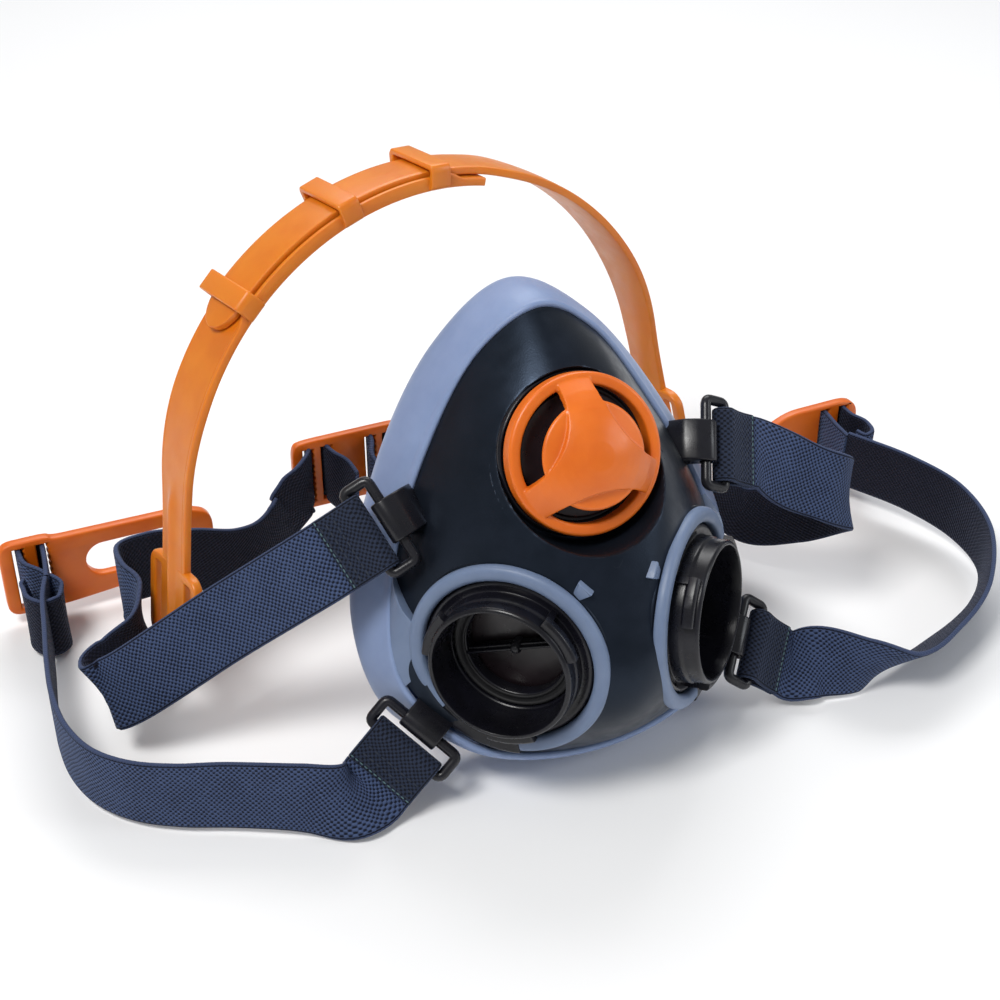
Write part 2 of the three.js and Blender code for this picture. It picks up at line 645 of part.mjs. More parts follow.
// A strap's end, threaded round the bar between two slots of a plate. Its tail hangs in front.
function threadedEnd({ size, slots }, [near, far], tail) {
  const [a, b] = [slots[near], slots[far]];
  const s = Math.sign(b - a);
  const z = size[2] / 2 + 1.2;
  const [low, t] = [-z - tail, STRAP_T / 2];
  const shape = new THREE.Shape();
  shape.moveTo(a - s * t, -z - 2);
  shape.lineTo(a - s * t, z + STRAP_T);
  shape.lineTo(b + s * t, z + STRAP_T);
  shape.lineTo(b + s * t, -z - 1);
  shape.lineTo(b + s * (t + 3), low);
  shape.lineTo(b + s * (t + 1.2), low);
  shape.lineTo(b - s * t, -z - 1);
  shape.lineTo(b - s * t, z);
  shape.lineTo(a + s * t, z);
  shape.lineTo(a + s * t, -z - 2);
  shape.closePath();
  return acrossBars(shape, STRAP_W);
}

// ---------- assembly ----------
const object = new THREE.Group();
const mask = new THREE.Group();
mask.rotation.x = -rad(LEAN);
object.add(mask);

function addGroup(parent, matrix, mirrored = false) {
  const half = new THREE.Group();
  half.scale.x = mirrored ? -1 : 1;
  const group = new THREE.Group();
  group.applyMatrix4(matrix);
  half.add(group);
  parent.add(half);
  return group;
}

function addPiece(parent, name, body, material) {
  const piece = new THREE.Mesh(geometryOf(body), material);
  piece.name = name;
  parent.add(piece);
}

const envelope = sealEnvelope();
const bulk = maskBulk(envelope);
addPiece(mask, "front_shell", frontShell(), BLACK_PLASTIC);
addPiece(mask, "face_seal", faceSeal(), GREY_TPE);

const valve = addGroup(mask, valveFrame);
addPiece(valve, "exhale_valve_seat", valveSeat(), BLACK_PLASTIC);
addPiece(valve, "exhale_flap", exhaleFlap(), SILICONE);
addPiece(valve, "exhale_cover", exhaleCover(), ORANGE_PLASTIC);

for (const side of ["left", "right"]) {
  const inlet = addGroup(mask, inletFrame(), side === "left");
  addPiece(inlet, "inlet_collar_" + side, inletCollar(envelope), GREY_TPE);
  addPiece(inlet, "connector_" + side, connector(), BLACK_PLASTIC);
  addPiece(inlet, "connector_lock_ring_" + side, lockRing(), BLACK_PLASTIC);
  addPiece(inlet, "connector_gasket_" + side, faceGasket(), BLACK_RUBBER);
  addPiece(inlet, "inhale_flap_" + side, inhaleFlap(), SILICONE);
  for (const level of ["upper", "lower"]) {
    const anchor = addGroup(object, buckleFrame(BUCKLES[level]), side === "left");
    const name = level + "_" + side;
    addPiece(anchor, "strap_anchor_" + name, strapAnchor(level, bulk), BLACK_PLASTIC);
    addPiece(anchor, "buckle_" + name, buckle(), BLACK_PLASTIC);
    addPiece(anchor, "sewn_loop_" + name, sewnLoop(), WEBBING);
  }
}

const STRAPS = {
  strap_upper_left: [fromBuckle("upper", "left", UPPER_LEFT), 40],
  strap_upper_right: [fromBuckle("upper", "right", UPPER_RIGHT), 26],
  strap_lower_left: [fromBuckle("lower", "left", LOWER_LEFT), 30],
  strap_lower_right: [fromBuckle("lower", "right", LOWER_RIGHT), 34],
  strap_upper_right_back: [UPPER_RIGHT_BACK, 12],
};
for (const [name, [run, steps]] of Object.entries(STRAPS)) {
  addPiece(object, name, webbing(run, STRAP_W, STRAP_T, steps), WEBBING);
}

const crown = addGroup(object, crownFrame());
addPiece(crown, "crown_band_left", crownLeft(), ORANGE_PLASTIC);
addPiece(crown, "crown_band_right", crownRight(), ORANGE_PLASTIC);

const onPlate = ({ at }) => addGroup(object, frame(vec(at), V(1, 0, 0), V(0, 1, 0)));
const rear = onPlate(REAR_PLATE);
addPiece(rear, "rear_plate", slottedPlate(REAR_PLATE), ORANGE_PLASTIC);
addPiece(rear, "strap_end_rear_left", threadedEnd(REAR_PLATE, [0, 1], 12), WEBBING);
addPiece(rear, "strap_end_rear_right", threadedEnd(REAR_PLATE, [3, 2], 12), WEBBING);
const loopHalf = onPlate(NECK_LOOP);
addPiece(loopHalf, "neck_clasp_loop", neckLoop(), ORANGE_PLASTIC);
addPiece(loopHalf, "strap_end_neck_left", threadedEnd(NECK_LOOP, [1, 0], 16), WEBBING);
const hookHalf = onPlate(NECK_HOOK);
addPiece(hookHalf, "neck_clasp_hook", neckHook(), ORANGE_PLASTIC);
addPiece(hookHalf, "strap_end_neck_right", threadedEnd(NECK_HOOK, [0, 1], 16), WEBBING);

// The origin is the middle of the object's footprint.
object.updateMatrixWorld(true);
const bounds = new THREE.Box3().setFromObject(object, true);
const middle = bounds.getCenter(V());
object.position.set(-middle.x, -middle.y, -bounds.min.z);

export default object;
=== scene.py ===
import json
import math

import bmesh
import bpy
import numpy as np
from mathutils import Matrix, Vector
from mathutils.geometry import delaunay_2d_cdt


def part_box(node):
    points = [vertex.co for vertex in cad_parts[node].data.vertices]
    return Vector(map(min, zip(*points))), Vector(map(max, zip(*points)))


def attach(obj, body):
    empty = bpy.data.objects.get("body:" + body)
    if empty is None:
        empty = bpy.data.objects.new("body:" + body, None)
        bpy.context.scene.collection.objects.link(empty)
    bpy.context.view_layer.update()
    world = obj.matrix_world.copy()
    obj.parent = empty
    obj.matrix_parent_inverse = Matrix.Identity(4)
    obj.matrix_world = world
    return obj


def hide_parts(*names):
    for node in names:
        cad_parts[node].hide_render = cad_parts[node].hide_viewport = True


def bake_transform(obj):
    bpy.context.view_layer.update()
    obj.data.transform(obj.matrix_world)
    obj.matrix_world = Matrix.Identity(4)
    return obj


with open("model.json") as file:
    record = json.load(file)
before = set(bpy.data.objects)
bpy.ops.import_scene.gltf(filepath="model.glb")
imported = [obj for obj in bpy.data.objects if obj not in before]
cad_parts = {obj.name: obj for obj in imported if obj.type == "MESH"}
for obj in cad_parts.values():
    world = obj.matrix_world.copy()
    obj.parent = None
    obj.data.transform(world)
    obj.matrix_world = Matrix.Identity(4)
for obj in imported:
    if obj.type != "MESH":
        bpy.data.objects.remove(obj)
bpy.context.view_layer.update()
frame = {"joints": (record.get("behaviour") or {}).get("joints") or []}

# Half-mask respirator: soft grey-blue seal, black shell, orange exhale cover, webbing and crown band.
# Local sizes are millimetres, turned into the frame's metres by each piece's matrix.

# ---------- names and places from the frame ----------
MM = 0.001
ROOT = "mask_and_harness"
SIDES = ("right", "left")
LEVELS = ("upper", "lower")
JOINTS = {joint["name"]: joint for joint in frame["joints"]}
RIGHT = Vector((1, 0, 0))
BACK = Vector((0, 1, 0))
UP = Vector((0, 0, 1))


def axes(origin, x_hint, z_axis):
    """The matrix from local millimetres to the frame's metres."""
    z = Vector(z_axis).normalized()
    y = z.cross(Vector(x_hint)).normalized()
    x = y.cross(z)
    matrix = Matrix((x * MM, y * MM, z * MM)).transposed().to_4x4()
    matrix.translation = origin
    return matrix


def middle(node):
    low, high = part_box(node)
    return (low + high) / 2


CENTRE = Vector(JOINTS["cover_twist"]["pos_m"])  # middle of the exhale cover's face
FORWARD = Vector(JOINTS["cover_twist"]["axis"]).normalized()
OBJECT = axes(CENTRE, RIGHT, UP)  # upright axes about the cover's face
VALVE = axes(CENTRE, RIGHT, FORWARD)  # Z out of the exhale valve
MASK = axes(CENTRE, RIGHT, RIGHT.cross(-FORWARD))  # the mask's own upright frame, Y towards the face
MIRROR = Matrix.Translation(2 * CENTRE.x * RIGHT) @ Matrix.Scale(-1, 4, RIGHT)

GASKET_Z = (-6.1, -4.6)  # the gasket's rear and front face along the inlet's axis
INLET_OUT = -Vector(JOINTS["inhale_flap_right_lift"]["axis"]).normalized()
INLET = axes(
    middle("connector_gasket_right") - INLET_OUT * sum(GASKET_Z) / 2 * MM,
    (MASK.to_3x3() @ UP).cross(INLET_OUT),
    INLET_OUT,
)
CROWN = axes(
    JOINTS["crown_adjust"]["pos_m"],
    UP.cross(Vector(JOINTS["crown_adjust"]["axis"])),
    JOINTS["crown_adjust"]["axis"],
)
LOOP_BAR, HOOK_BAR = -22.0, 9.4  # strap bars of the neck clasp's halves, from their middles
REAR_PLATE = axes(middle("rear_plate"), RIGHT, BACK)
NECK_LOOP = axes(
    Vector(JOINTS["neck_clasp_loop_swing"]["pos_m"]) - RIGHT * LOOP_BAR * MM, RIGHT, BACK
)
NECK_HOOK = axes(
    Vector(JOINTS["neck_clasp_hook_swing"]["pos_m"]) - RIGHT * HOOK_BAR * MM, RIGHT, BACK
)


def buckle_frame(level):
    """X away from the mask, Y across the strap and Z outwards, about the buckle's inner bar."""
    joint = JOINTS["buckle_%s_right_swing" % level]
    run = middle("buckle_%s_right" % level) - Vector(joint["pos_m"])
    return axes(joint["pos_m"], run, run.cross(Vector(joint["axis"])))


def sided(matrix, side):
    return MIRROR @ matrix if side == "left" else matrix


def turned(matrix, degrees, axis):
    return matrix @ Matrix.Rotation(math.radians(degrees), 4, axis)


# ---------- driving dimensions ----------
# Half outlines from the nose round one cheek to the chin, in the mask's frame.
SHELL_EDGE = [
    [0, 13.5, 36.4], [15.1, 19.3, 28.6], [30, 27.3, 7.9], [43.3, 32.8, -20.7],
    [47.7, 32.3, -49.6], [32.8, 27.9, -70.8], [0, 25.6, -78.7],
]
REAR_RIM = [
    [0, 32, 44], [21, 37, 31.5], [42, 43.5, 0.8], [54, 46, -34],
    [48.5, 47, -61.5], [27, 46, -73.5], [0, 45, -76.5],
]
EDGE_SHARPNESS = [5, 4.5, 3.5, 2.4, 1.4, 1.7, 6]
DOME_CENTRE_Z = -30
CREST_Y, CREST_Z, CREST_FALL = -6.7, -45, 0.0016
CALM_SHARE, CALM_SHARPNESS = 0.42, 2.4  # the dome's middle, where one sharpness holds all round
SHELL_WALL = 2.2
DISH_R, DISH_FLOOR, DISH_LIP = 20.3, 8.0, 1.1
DISH_DROP = 1.4  # the dish hangs lower than the cover
THROAT_R = 16.8
BOSS_R, BOSS_TOP, BOSS_FOOT = 26.2, -1.4, -9.0

COVER_R = 20.0
COVER_RING_IN = 16.9
COVER_DISC_R = 13.3
COVER_ARMS = (90, 210, 330)

COLLAR_IN, COLLAR_OUT = 22.1, 26.2
EAR = (278.8, 331.2)
TUBE_R, TUBE_REACH = 19.0, 8.0

STRAP_W, STRAP_T = 20.0, 1.5
BAR_R = 1.4
BAR_SPACING = 7.0
BUCKLE_W, ANCHOR_W = 26.0, 11.0
SEWN_END = 17.2

CROWN_R, CROWN_W, CROWN_T = 75.0, 17.5, 2.2
CROWN_LAYER = 2.6  # from the inner band's middle to the outer band's
# Angles on the arch, in degrees. Beyond the arc, 10 to 170, they measure the straight legs.
KEEPERS = (85, 105, 131)
LEFT_END, TONGUE_END = 74, 138
CROWN_FEET = (-21, 201)

REAR_HALF, CLASP_HALF = 1.3, 1.5  # half the thickness of the rear plate and of the neck clasp
REAR_SLOTS = (-13, -7.4, 6.4, 12)  # the middles of the strap slots, along X
LOOP_SLOTS, HOOK_SLOTS = (-25.4, -18.6), (6, 12.8)


# ---------- curves ----------
def spline(points, per, closed=False):
    """A centripetal Catmull-Rom curve through rows whose first three numbers are a place."""
    p = np.array(points, float)
    n = len(p)
    if not closed:
        p = np.vstack([2 * p[0] - p[1], p, 2 * p[-1] - p[-2]])
    out = []
    for i in range(n if closed else n - 1):
        four = [p[(i + k - 1) % n] if closed else p[i + k] for k in range(4)]
        knots = [0.0]
        for a, b in zip(four, four[1:]):
            knots.append(knots[-1] + max(np.linalg.norm(b[:3] - a[:3]), 1e-6) ** 0.5)
        t = np.linspace(knots[1], knots[2], per, endpoint=False)[:, None]

        def mix(a, b, ta, tb):
            return (tb - t) / (tb - ta) * a + (t - ta) / (tb - ta) * b

        rows = [mix(four[k], four[k + 1], knots[k], knots[k + 1]) for k in range(3)]
        rows = [mix(rows[k], rows[k + 1], knots[k], knots[k + 2]) for k in range(2)]
        out.append(mix(rows[0], rows[1], knots[1], knots[2]))
    if not closed:
        out.append(p[-2:-1])
    return np.vstack(out)


def even(rows, step):
    """The same curve with its rows about `step` apart."""
    gaps = np.linalg.norm(np.diff(rows[:, :3], axis=0), axis=1)
    run = np.concatenate([[0], np.cumsum(gaps)])
    places = np.linspace(0, run[-1], max(2, int(round(run[-1] / step)) + 1))
    return np.stack([np.interp(places, run, column) for column in rows.T], axis=1), places


def fillet(points, radius, steps=4):
    """An outline with each corner turned into a short curve, at most `radius` back from it."""
    p = [np.array(q, float) for q in points]
    out = []
    for i, corner in enumerate(p):
        before, after = p[i - 1] - corner, p[(i + 1) % len(p)] - corner
        a = before / np.linalg.norm(before) * min(radius, 0.45 * np.linalg.norm(before))
        b = after / np.linalg.norm(after) * min(radius, 0.45 * np.linalg.norm(after))
        for t in np.linspace(0, 1, steps + 1):
            out.append(corner + a * (1 - t) ** 2 + b * t**2)
    return np.array(out)


def arc(radius, start, stop, steps, centre=(0, 0)):
    """Points on a circle, with both ends, from one angle to another in degrees."""
    turn = np.radians(np.linspace(start, stop, steps + 1))
    return np.stack([centre[0] + radius * np.cos(turn), centre[1] + radius * np.sin(turn)], axis=1)


def rounded_box(width, height, radius, steps=6):
    x, y = width / 2 - radius, height / 2 - radius
    corners = [(x, y, 0), (-x, y, 90), (-x, -y, 180), (x, -y, 270)]
    return np.vstack([arc(radius, a, a + 90, steps, (cx, cy)) for cx, cy, a in corners])


# ---------- meshes ----------
def raw_mesh(name, verts, faces, matrix, uv=None, face_material=None):
    """A mesh object with its place baked in. Its faces are turned outwards."""
    m = np.array(matrix)
    co = np.asarray(verts, float) @ m[:3, :3].T + m[:3, 3]
    mesh = bpy.data.meshes.new(name)
    mesh.from_pydata(co.tolist(), [], [list(map(int, f)) for f in faces])
    if uv is not None:
        layer = mesh.uv_layers.new(name="along")
        index = np.zeros(len(mesh.loops), int)
        mesh.loops.foreach_get("vertex_index", index)
        layer.data.foreach_set("uv", np.asarray(uv, np.float32)[index].ravel())
    if face_material is not None:
        mesh.polygons.foreach_set("material_index", np.asarray(face_material, np.int32))
    clean(mesh)
    obj = bpy.data.objects.new(name, mesh)
    bpy.context.scene.collection.objects.link(obj)
    return obj


def clean(mesh):
    bm = bmesh.new()
    bm.from_mesh(mesh)
    bmesh.ops.remove_doubles(bm, verts=bm.verts, dist=2e-6)
    bmesh.ops.dissolve_degenerate(bm, edges=bm.edges, dist=1e-7)
    loose = [edge for edge in bm.edges if not edge.link_faces]
    bmesh.ops.delete(bm, geom=loose, context="EDGES")
    bmesh.ops.recalc_face_normals(bm, faces=bm.faces)
    bm.to_mesh(mesh)
    bm.free()


def loft(loops, closed=False):
    """Faces over rows of equal closed loops: (verts, faces)."""
    loops = np.asarray(loops, float)
    rows, n = loops.shape[:2]
    faces = []
    for i in range(rows if closed else rows - 1):
        a, b = i * n, ((i + 1) % rows) * n
        faces += [(a + j, a + (j + 1) % n, b + (j + 1) % n, b + j) for j in range(n)]
    if not closed:
        faces.append(tuple(range(n))[::-1])
        faces.append(tuple(range((rows - 1) * n, rows * n)))
    return loops.reshape(-1, 3), faces


def lathe(name, profile, matrix, steps=96, span=None):
    """A closed [radius, height] outline turned about Z, all the way round or over a span of degrees."""
    start, stop = span or (0, 360)
    turn = np.radians(np.linspace(start, stop, steps + (1 if span else 0), endpoint=bool(span)))
    p = np.asarray(profile, float)
    loops = [
        np.stack([p[:, 0] * math.cos(t), p[:, 0] * math.sin(t), p[:, 1]], axis=1) for t in turn
    ]
    verts, faces = loft(loops, closed=not span)
    return raw_mesh(name, verts, faces, matrix)


def plate(name, outline, holes, low, high, bevel, matrix):
    """A flat plate with rounded edges and holes, from a filled curve."""
    curve = bpy.data.curves.new(name, "CURVE")
    curve.dimensions = "2D"
    curve.fill_mode = "BOTH"
    curve.extrude = (high - low) / 2 - bevel
    curve.bevel_depth = bevel
    curve.bevel_resolution = 2
    curve.offset = -bevel
    for loop in [outline, *holes]:
        points = curve.splines.new("POLY")
        points.points.add(len(loop) - 1)
        flat = [c for x, y in loop for c in (x, y, 0, 1)]
        points.points.foreach_set("co", flat)
        points.use_cyclic_u = True
    holder = bpy.data.objects.new(name, curve)
    bpy.context.scene.collection.objects.link(holder)
    mesh = bpy.data.meshes.new_from_object(
        holder.evaluated_get(bpy.context.evaluated_depsgraph_get())
    )
    verts = np.array([v.co for v in mesh.vertices]) + (0, 0, (low + high) / 2)
    faces = [tuple(f.vertices) for f in mesh.polygons]
    bpy.data.objects.remove(holder)
    bpy.data.meshes.remove(mesh)
    return raw_mesh(name, verts, faces, matrix)


def block(name, size, at, bevel, matrix):
    """A rounded block, `size` wide, deep and high about `at`."""
    w, d, h = size
    outline = rounded_box(w, d, min(bevel * 1.2, w / 2.2, d / 2.2), 4) + at[:2]
    return plate(name, outline, [], at[2] - h / 2, at[2] + h / 2, bevel, matrix)


def bake(obj):
    """Applies an object's modifiers."""
    deps = bpy.context.evaluated_depsgraph_get()
    mesh = bpy.data.meshes.new_from_object(obj.evaluated_get(deps))
    obj.modifiers.clear()
    old = obj.data
    obj.data = mesh
    bpy.data.meshes.remove(old)
    return obj


def combine(first, *tools, operation="UNION"):
    """Joins closed meshes into the first one, or cuts them out of it."""
    for tool in tools:
        step = first.modifiers.new("combine", "BOOLEAN")
        step.operation = operation
        step.solver = "MANIFOLD"
        step.object = tool
    bake(first)
    for tool in tools:
        bpy.data.objects.remove(tool)
    return first


def soften(obj, voxel, rounds):
    """Melts joined solids into one moulding with small fillets."""
    remesh = obj.modifiers.new("remesh", "REMESH")
    remesh.mode = "VOXEL"
    remesh.voxel_size = voxel * MM
    smooth = obj.modifiers.new("smooth", "SMOOTH")
    smooth.factor = 0.5
    smooth.iterations = rounds
    return bake(obj)


def finish_piece(obj, body, materials, *nodes, slot=None, crease=38):
    """Gives a piece its materials and shading, and its place in the frame."""
    if not isinstance(materials, list):
        obj.data.materials.clear()
        materials = [materials]
    for material in materials:
        obj.data.materials.append(material)
    obj.data.shade_smooth()
    obj.data.set_sharp_from_angle(angle=math.radians(crease))
    if body:
        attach(obj, body)
    if nodes:
        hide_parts(*nodes)


# ---------- materials ----------
class Nodes:
    """A material's nodes, made and linked in one call each."""

    def __init__(self, name):
        self.material = bpy.data.materials.new(name)
        self.material.use_nodes = True
        self.tree = self.material.node_tree
        self.tree.nodes.clear()

    def add(self, kind, settings=None, **inputs):
        node = self.tree.nodes.new("ShaderNode" + kind)
        for key, value in (settings or {}).items():
            setattr(node, key, value)
        for key, value in inputs.items():
            socket = node.inputs[int(key[1:])] if key[0] == "i" and key[1:].isdigit() else None
            socket = socket or node.inputs[key.replace("_", " ")]
            if isinstance(value, bpy.types.NodeSocket):
                self.tree.links.new(value, socket)
            else:
                socket.default_value = value
        return node

    def math(self, operation, a, b=0.0, c=0.0):
        return self.add("Math", {"operation": operation}, i0=a, i1=b, i2=c).outputs[0]

    def times(self, a, b):
        return self.math("MULTIPLY", a, b)

    def mix(self, share, a, b):
        node = self.add("Mix", {"data_type": "RGBA"}, i0=share, i6=a, i7=b)
        return node.outputs[2]

    def band(self, value, low, high, to_low=0.0, to_high=1.0):
        """Maps a value between two limits, and holds it outside them."""
        node = self.add("MapRange", None, i0=value, i1=low, i2=high, i3=to_low, i4=to_high)
        return node.outputs[0]

    def noise(self, scale, detail=3.0, vector=None, roughness=0.5):
        place = vector or self.add("TexCoord").outputs["Object"]
        return self.add(
            "TexNoise", None, Vector=place, Scale=scale, Detail=detail, Roughness=roughness
        ).outputs[0]

    def shader(self, **inputs):
        node = self.add("BsdfPrincipled", None, **inputs)
        out = self.tree.nodes.new("ShaderNodeOutputMaterial")
        self.tree.links.new(node.outputs[0], out.inputs[0])
        return self.material


def rgb(r, g, b):
    return (r, g, b, 1.0)


def moulded(name, colour, shade, rough, grain, edge_glint=0.0, edge=0.25, **extra):
    """Moulded plastic or rubber: mottled colour, fine grain, soft edges that catch the light, and a
    painted highlight that lightens convex edges.
    """
    n = Nodes(name)
    cloud = n.noise(90.0, 4.0)
    speck = n.noise(900.0, 3.0)
    base = n.mix(n.band(cloud, 0.35, 0.68), colour, shade)
    base = n.mix(n.times(n.band(speck, 0.62, 0.75), 0.35), base, shade)
    point = n.add("NewGeometry").outputs["Pointiness"]
    # Painted highlight: convex edges, found by pointiness, lighten in patches.
    if edge_glint:
        glint_colour = tuple(min(1.0, c * 1.5 + 0.05) for c in colour[:3]) + (1.0,)
        edges = n.times(n.band(point, 0.52, 0.6), edge_glint)
        base = n.mix(n.times(edges, n.band(cloud, 0.3, 0.6)), base, glint_colour)
    roughness = n.band(n.noise(260.0, 5.0), 0.3, 0.7, rough - 0.05, rough + 0.07)
    soft = n.add("Bevel", {"samples": 4}, Radius=edge * MM).outputs[0]
    fine = n.noise(2600.0, 2.0)
    waves = n.noise(60.0, 2.0)
    height = n.math("ADD", n.times(fine, grain), n.times(waves, 0.6))
    bump = n.add("Bump", None, Strength=0.35, Distance=0.12 * MM, Height=height, Normal=soft)
    return n.shader(
        Base_Color=base, Roughness=roughness, Normal=bump.outputs[0], IOR=1.5, **extra
    )


WEAVE = 1.4  # one repeat of the weave, two cells, in millimetres
SELVEDGE = 9.0  # where the plain edge begins, from the strap's middle


def webbing(name, light, dark, edge):
    """Elastic webbing, woven in a small chequer between two plain edges."""
    n = Nodes(name)
    place = n.add("UVMap", {"uv_map": "along"}).outputs[0]
    parts = n.add("SeparateXYZ", None, Vector=place)
    u, v = parts.outputs[0], parts.outputs[1]
    turn = 2 * math.pi / WEAVE
    wander = n.times(n.math("SUBTRACT", n.noise(0.25, 2.0, place), 0.5), 1.1)
    across = n.math("SINE", n.times(v, turn))
    along = n.math("SINE", n.times(n.math("ADD", u, wander), turn))
    cells = n.times(across, along)
    yarn = n.math("SINE", n.times(v, turn * 4))
    fuzz = n.noise(3.0, 4.0, place, 0.65)
    side = n.math("ABSOLUTE", v)
    plain = n.band(side, SELVEDGE, SELVEDGE + 0.15)
    cord = n.math("SINE", n.times(side, turn * 1.6))
    twill = n.math("SINE", n.times(n.math("ADD", u, n.times(v, 1.4)), 7.5))
    rib = n.math("MULTIPLY_ADD", twill, 0.35, cord)
    weave = n.math("MULTIPLY_ADD", yarn, 0.16, cells)
    lift = n.add("Mix", None, i0=plain, i2=weave, i3=rib).outputs[0]
    patch = n.band(n.noise(0.12, 3.0, place), 0.3, 0.7, -0.12, 0.12)
    shown = n.math("ADD", n.math("ADD", lift, patch), n.math("MULTIPLY_ADD", fuzz, 0.9, -0.45))
    colour = n.mix(n.band(shown, -0.5, 0.3), dark, light)
    colour = n.mix(n.times(plain, n.band(rib, -0.3, 0.6)), colour, edge)
    height = n.math("MULTIPLY_ADD", fuzz, 0.5, lift)
    bump = n.add("Bump", None, Strength=0.75, Distance=0.22 * MM, Height=height)
    return n.shader(
        Base_Color=colour, Roughness=0.82, Normal=bump.outputs[0], Sheen_Weight=0.12,
        Sheen_Roughness=0.45, Sheen_Tint=rgb(0.55, 0.66, 1.0), IOR=1.45, Specular_IOR_Level=0.25,
    )


def thread(name, colour):
    n = Nodes(name)
    twist = n.add("TexWave", {"bands_direction": "DIAGONAL"}, Scale=900.0, Distortion=1.5)
    ply = n.band(twist.outputs[1], 0.2, 0.8, 0.45, 1.0)
    dull = tuple(c * 0.35 for c in colour[:3]) + (1.0,)
    bump = n.add("Bump", None, Strength=0.6, Distance=0.08 * MM, Height=ply)
    return n.shader(Base_Color=n.mix(ply, dull, colour), Roughness=0.7, Normal=bump.outputs[0])


def glow(weight, radius, scale):
    """Light that goes into a soft plastic and comes out beside."""
    return {"Subsurface_Weight": weight, "Subsurface_Radius": radius, "Subsurface_Scale": scale}


TPE_GLOW = glow(0.12, (0.4, 0.5, 0.8), 0.002)
GREY_TPE = moulded(
    "grey_tpe", rgb(0.235, 0.31, 0.50), rgb(0.20, 0.27, 0.45), 0.42, 0.5,
    **TPE_GLOW, Specular_IOR_Level=0.4,
)
# The seal's grey TPE again, darker: painted shade on the lower, forward-facing collars, tabs and
# pointers.
SHADED_GREY_TPE = moulded(
    "grey_tpe_painted_shade", rgb(0.165, 0.22, 0.34), rgb(0.14, 0.19, 0.30), 0.42, 0.5,
    **TPE_GLOW, Specular_IOR_Level=0.4,
)
SHELL_BLACK = moulded(
    "shell_black", rgb(0.007, 0.009, 0.014), rgb(0.0045, 0.006, 0.009), 0.33, 0.55, 0.25,
    Specular_IOR_Level=0.34, Specular_Tint=rgb(0.5, 0.68, 1.0),
)
BLACK_PLASTIC = moulded(
    "black_plastic", rgb(0.007, 0.007, 0.012), rgb(0.004, 0.004, 0.006), 0.28, 0.35, 0.5,
    Specular_IOR_Level=0.38,
)
BLACK_RUBBER = moulded(
    "black_rubber", rgb(0.010, 0.010, 0.012), rgb(0.006, 0.006, 0.007), 0.6, 0.9
)
COVER_ORANGE = moulded(
    "cover_orange", rgb(0.78, 0.165, 0.010), rgb(0.70, 0.135, 0.007), 0.34, 0.45, 0.35,
    **glow(0.1, (1.0, 0.35, 0.1), 0.0015),
)
CROWN_ORANGE = moulded(
    "crown_orange", rgb(0.70, 0.205, 0.008), rgb(0.64, 0.165, 0.006), 0.36, 0.5, 0.35,
    **glow(0.35, (1.0, 0.4, 0.1), 0.003),
)
CLASP_ORANGE = moulded(
    "clasp_orange", rgb(0.72, 0.15, 0.004), rgb(0.64, 0.115, 0.003), 0.36, 0.5, 0.35,
    **glow(0.25, (1.0, 0.3, 0.1), 0.0025),
)
SILICONE = moulded(
    "silicone", rgb(0.020, 0.013, 0.016), rgb(0.012, 0.008, 0.010), 0.3, 0.3
)
WEBBING_OUT = webbing(
    "webbing_outside", rgb(0.058, 0.088, 0.185), rgb(0.003, 0.005, 0.015), rgb(0.045, 0.062, 0.125)
)
# A darker copy of the outer webbing for the faces turned towards the head: painted shade.
WEBBING_SHADED_IN = webbing(
    "webbing_inside_painted_shade", rgb(0.008, 0.009, 0.022), rgb(0.002, 0.002, 0.006), rgb(0.03, 0.036, 0.075)
)
# A darker copy of the outer webbing for the folded, sewn ends by the buckles: painted shade.
WEBBING_SEWN_SHADED = webbing(
    "webbing_sewn", rgb(0.022, 0.031, 0.060), rgb(0.003, 0.004, 0.009), rgb(0.03, 0.042, 0.08)
)
NAVY_THREAD = thread("navy_thread", rgb(0.02, 0.03, 0.055))
TEAL_THREAD = thread("teal_thread", rgb(0.12, 0.22, 0.24))


# ---------- the mask's surfaces ----------
def whole(half):
    """Both halves of an outline, closed round the mask."""
    return half + [[-x, y, z] for x, y, z in reversed(half[1:-1])]


ROUND = 20  # samples from one outline point to the next
EDGE = spline(whole(SHELL_EDGE), ROUND, closed=True)
RIM = spline(whole(REAR_RIM), ROUND, closed=True)


def even_round(half):
    """One value for each sample round the mask, eased from outline point to outline point."""
    ring = half + half[-2:0:-1]
    places = np.arange(len(ring) * ROUND) / ROUND
    values = np.interp(places, range(len(ring) + 1), ring + ring[:1])
    window = np.hanning(ROUND + 1) / np.hanning(ROUND + 1).sum()
    wrapped = np.concatenate([values[-ROUND // 2 :], values, values[: ROUND // 2]])
    return np.convolve(wrapped, window, "valid")


SHARPNESS = even_round(EDGE_SHARPNESS)
EDGE_TURN = np.unwrap(np.arctan2(EDGE[:, 0], EDGE[:, 2] - DOME_CENTRE_Z))
EDGE_REACH = np.hypot(EDGE[:, 0], EDGE[:, 2] - DOME_CENTRE_Z)


def edge_share(x, z):
    """How far a place is from the dome's middle: 0 there and 1 on the shell's edge."""
    turn = np.arctan2(x, z - DOME_CENTRE_Z)
    reach = np.interp(turn, EDGE_TURN, EDGE_REACH, period=2 * np.pi)
    return np.hypot(x, z - DOME_CENTRE_Z) / reach


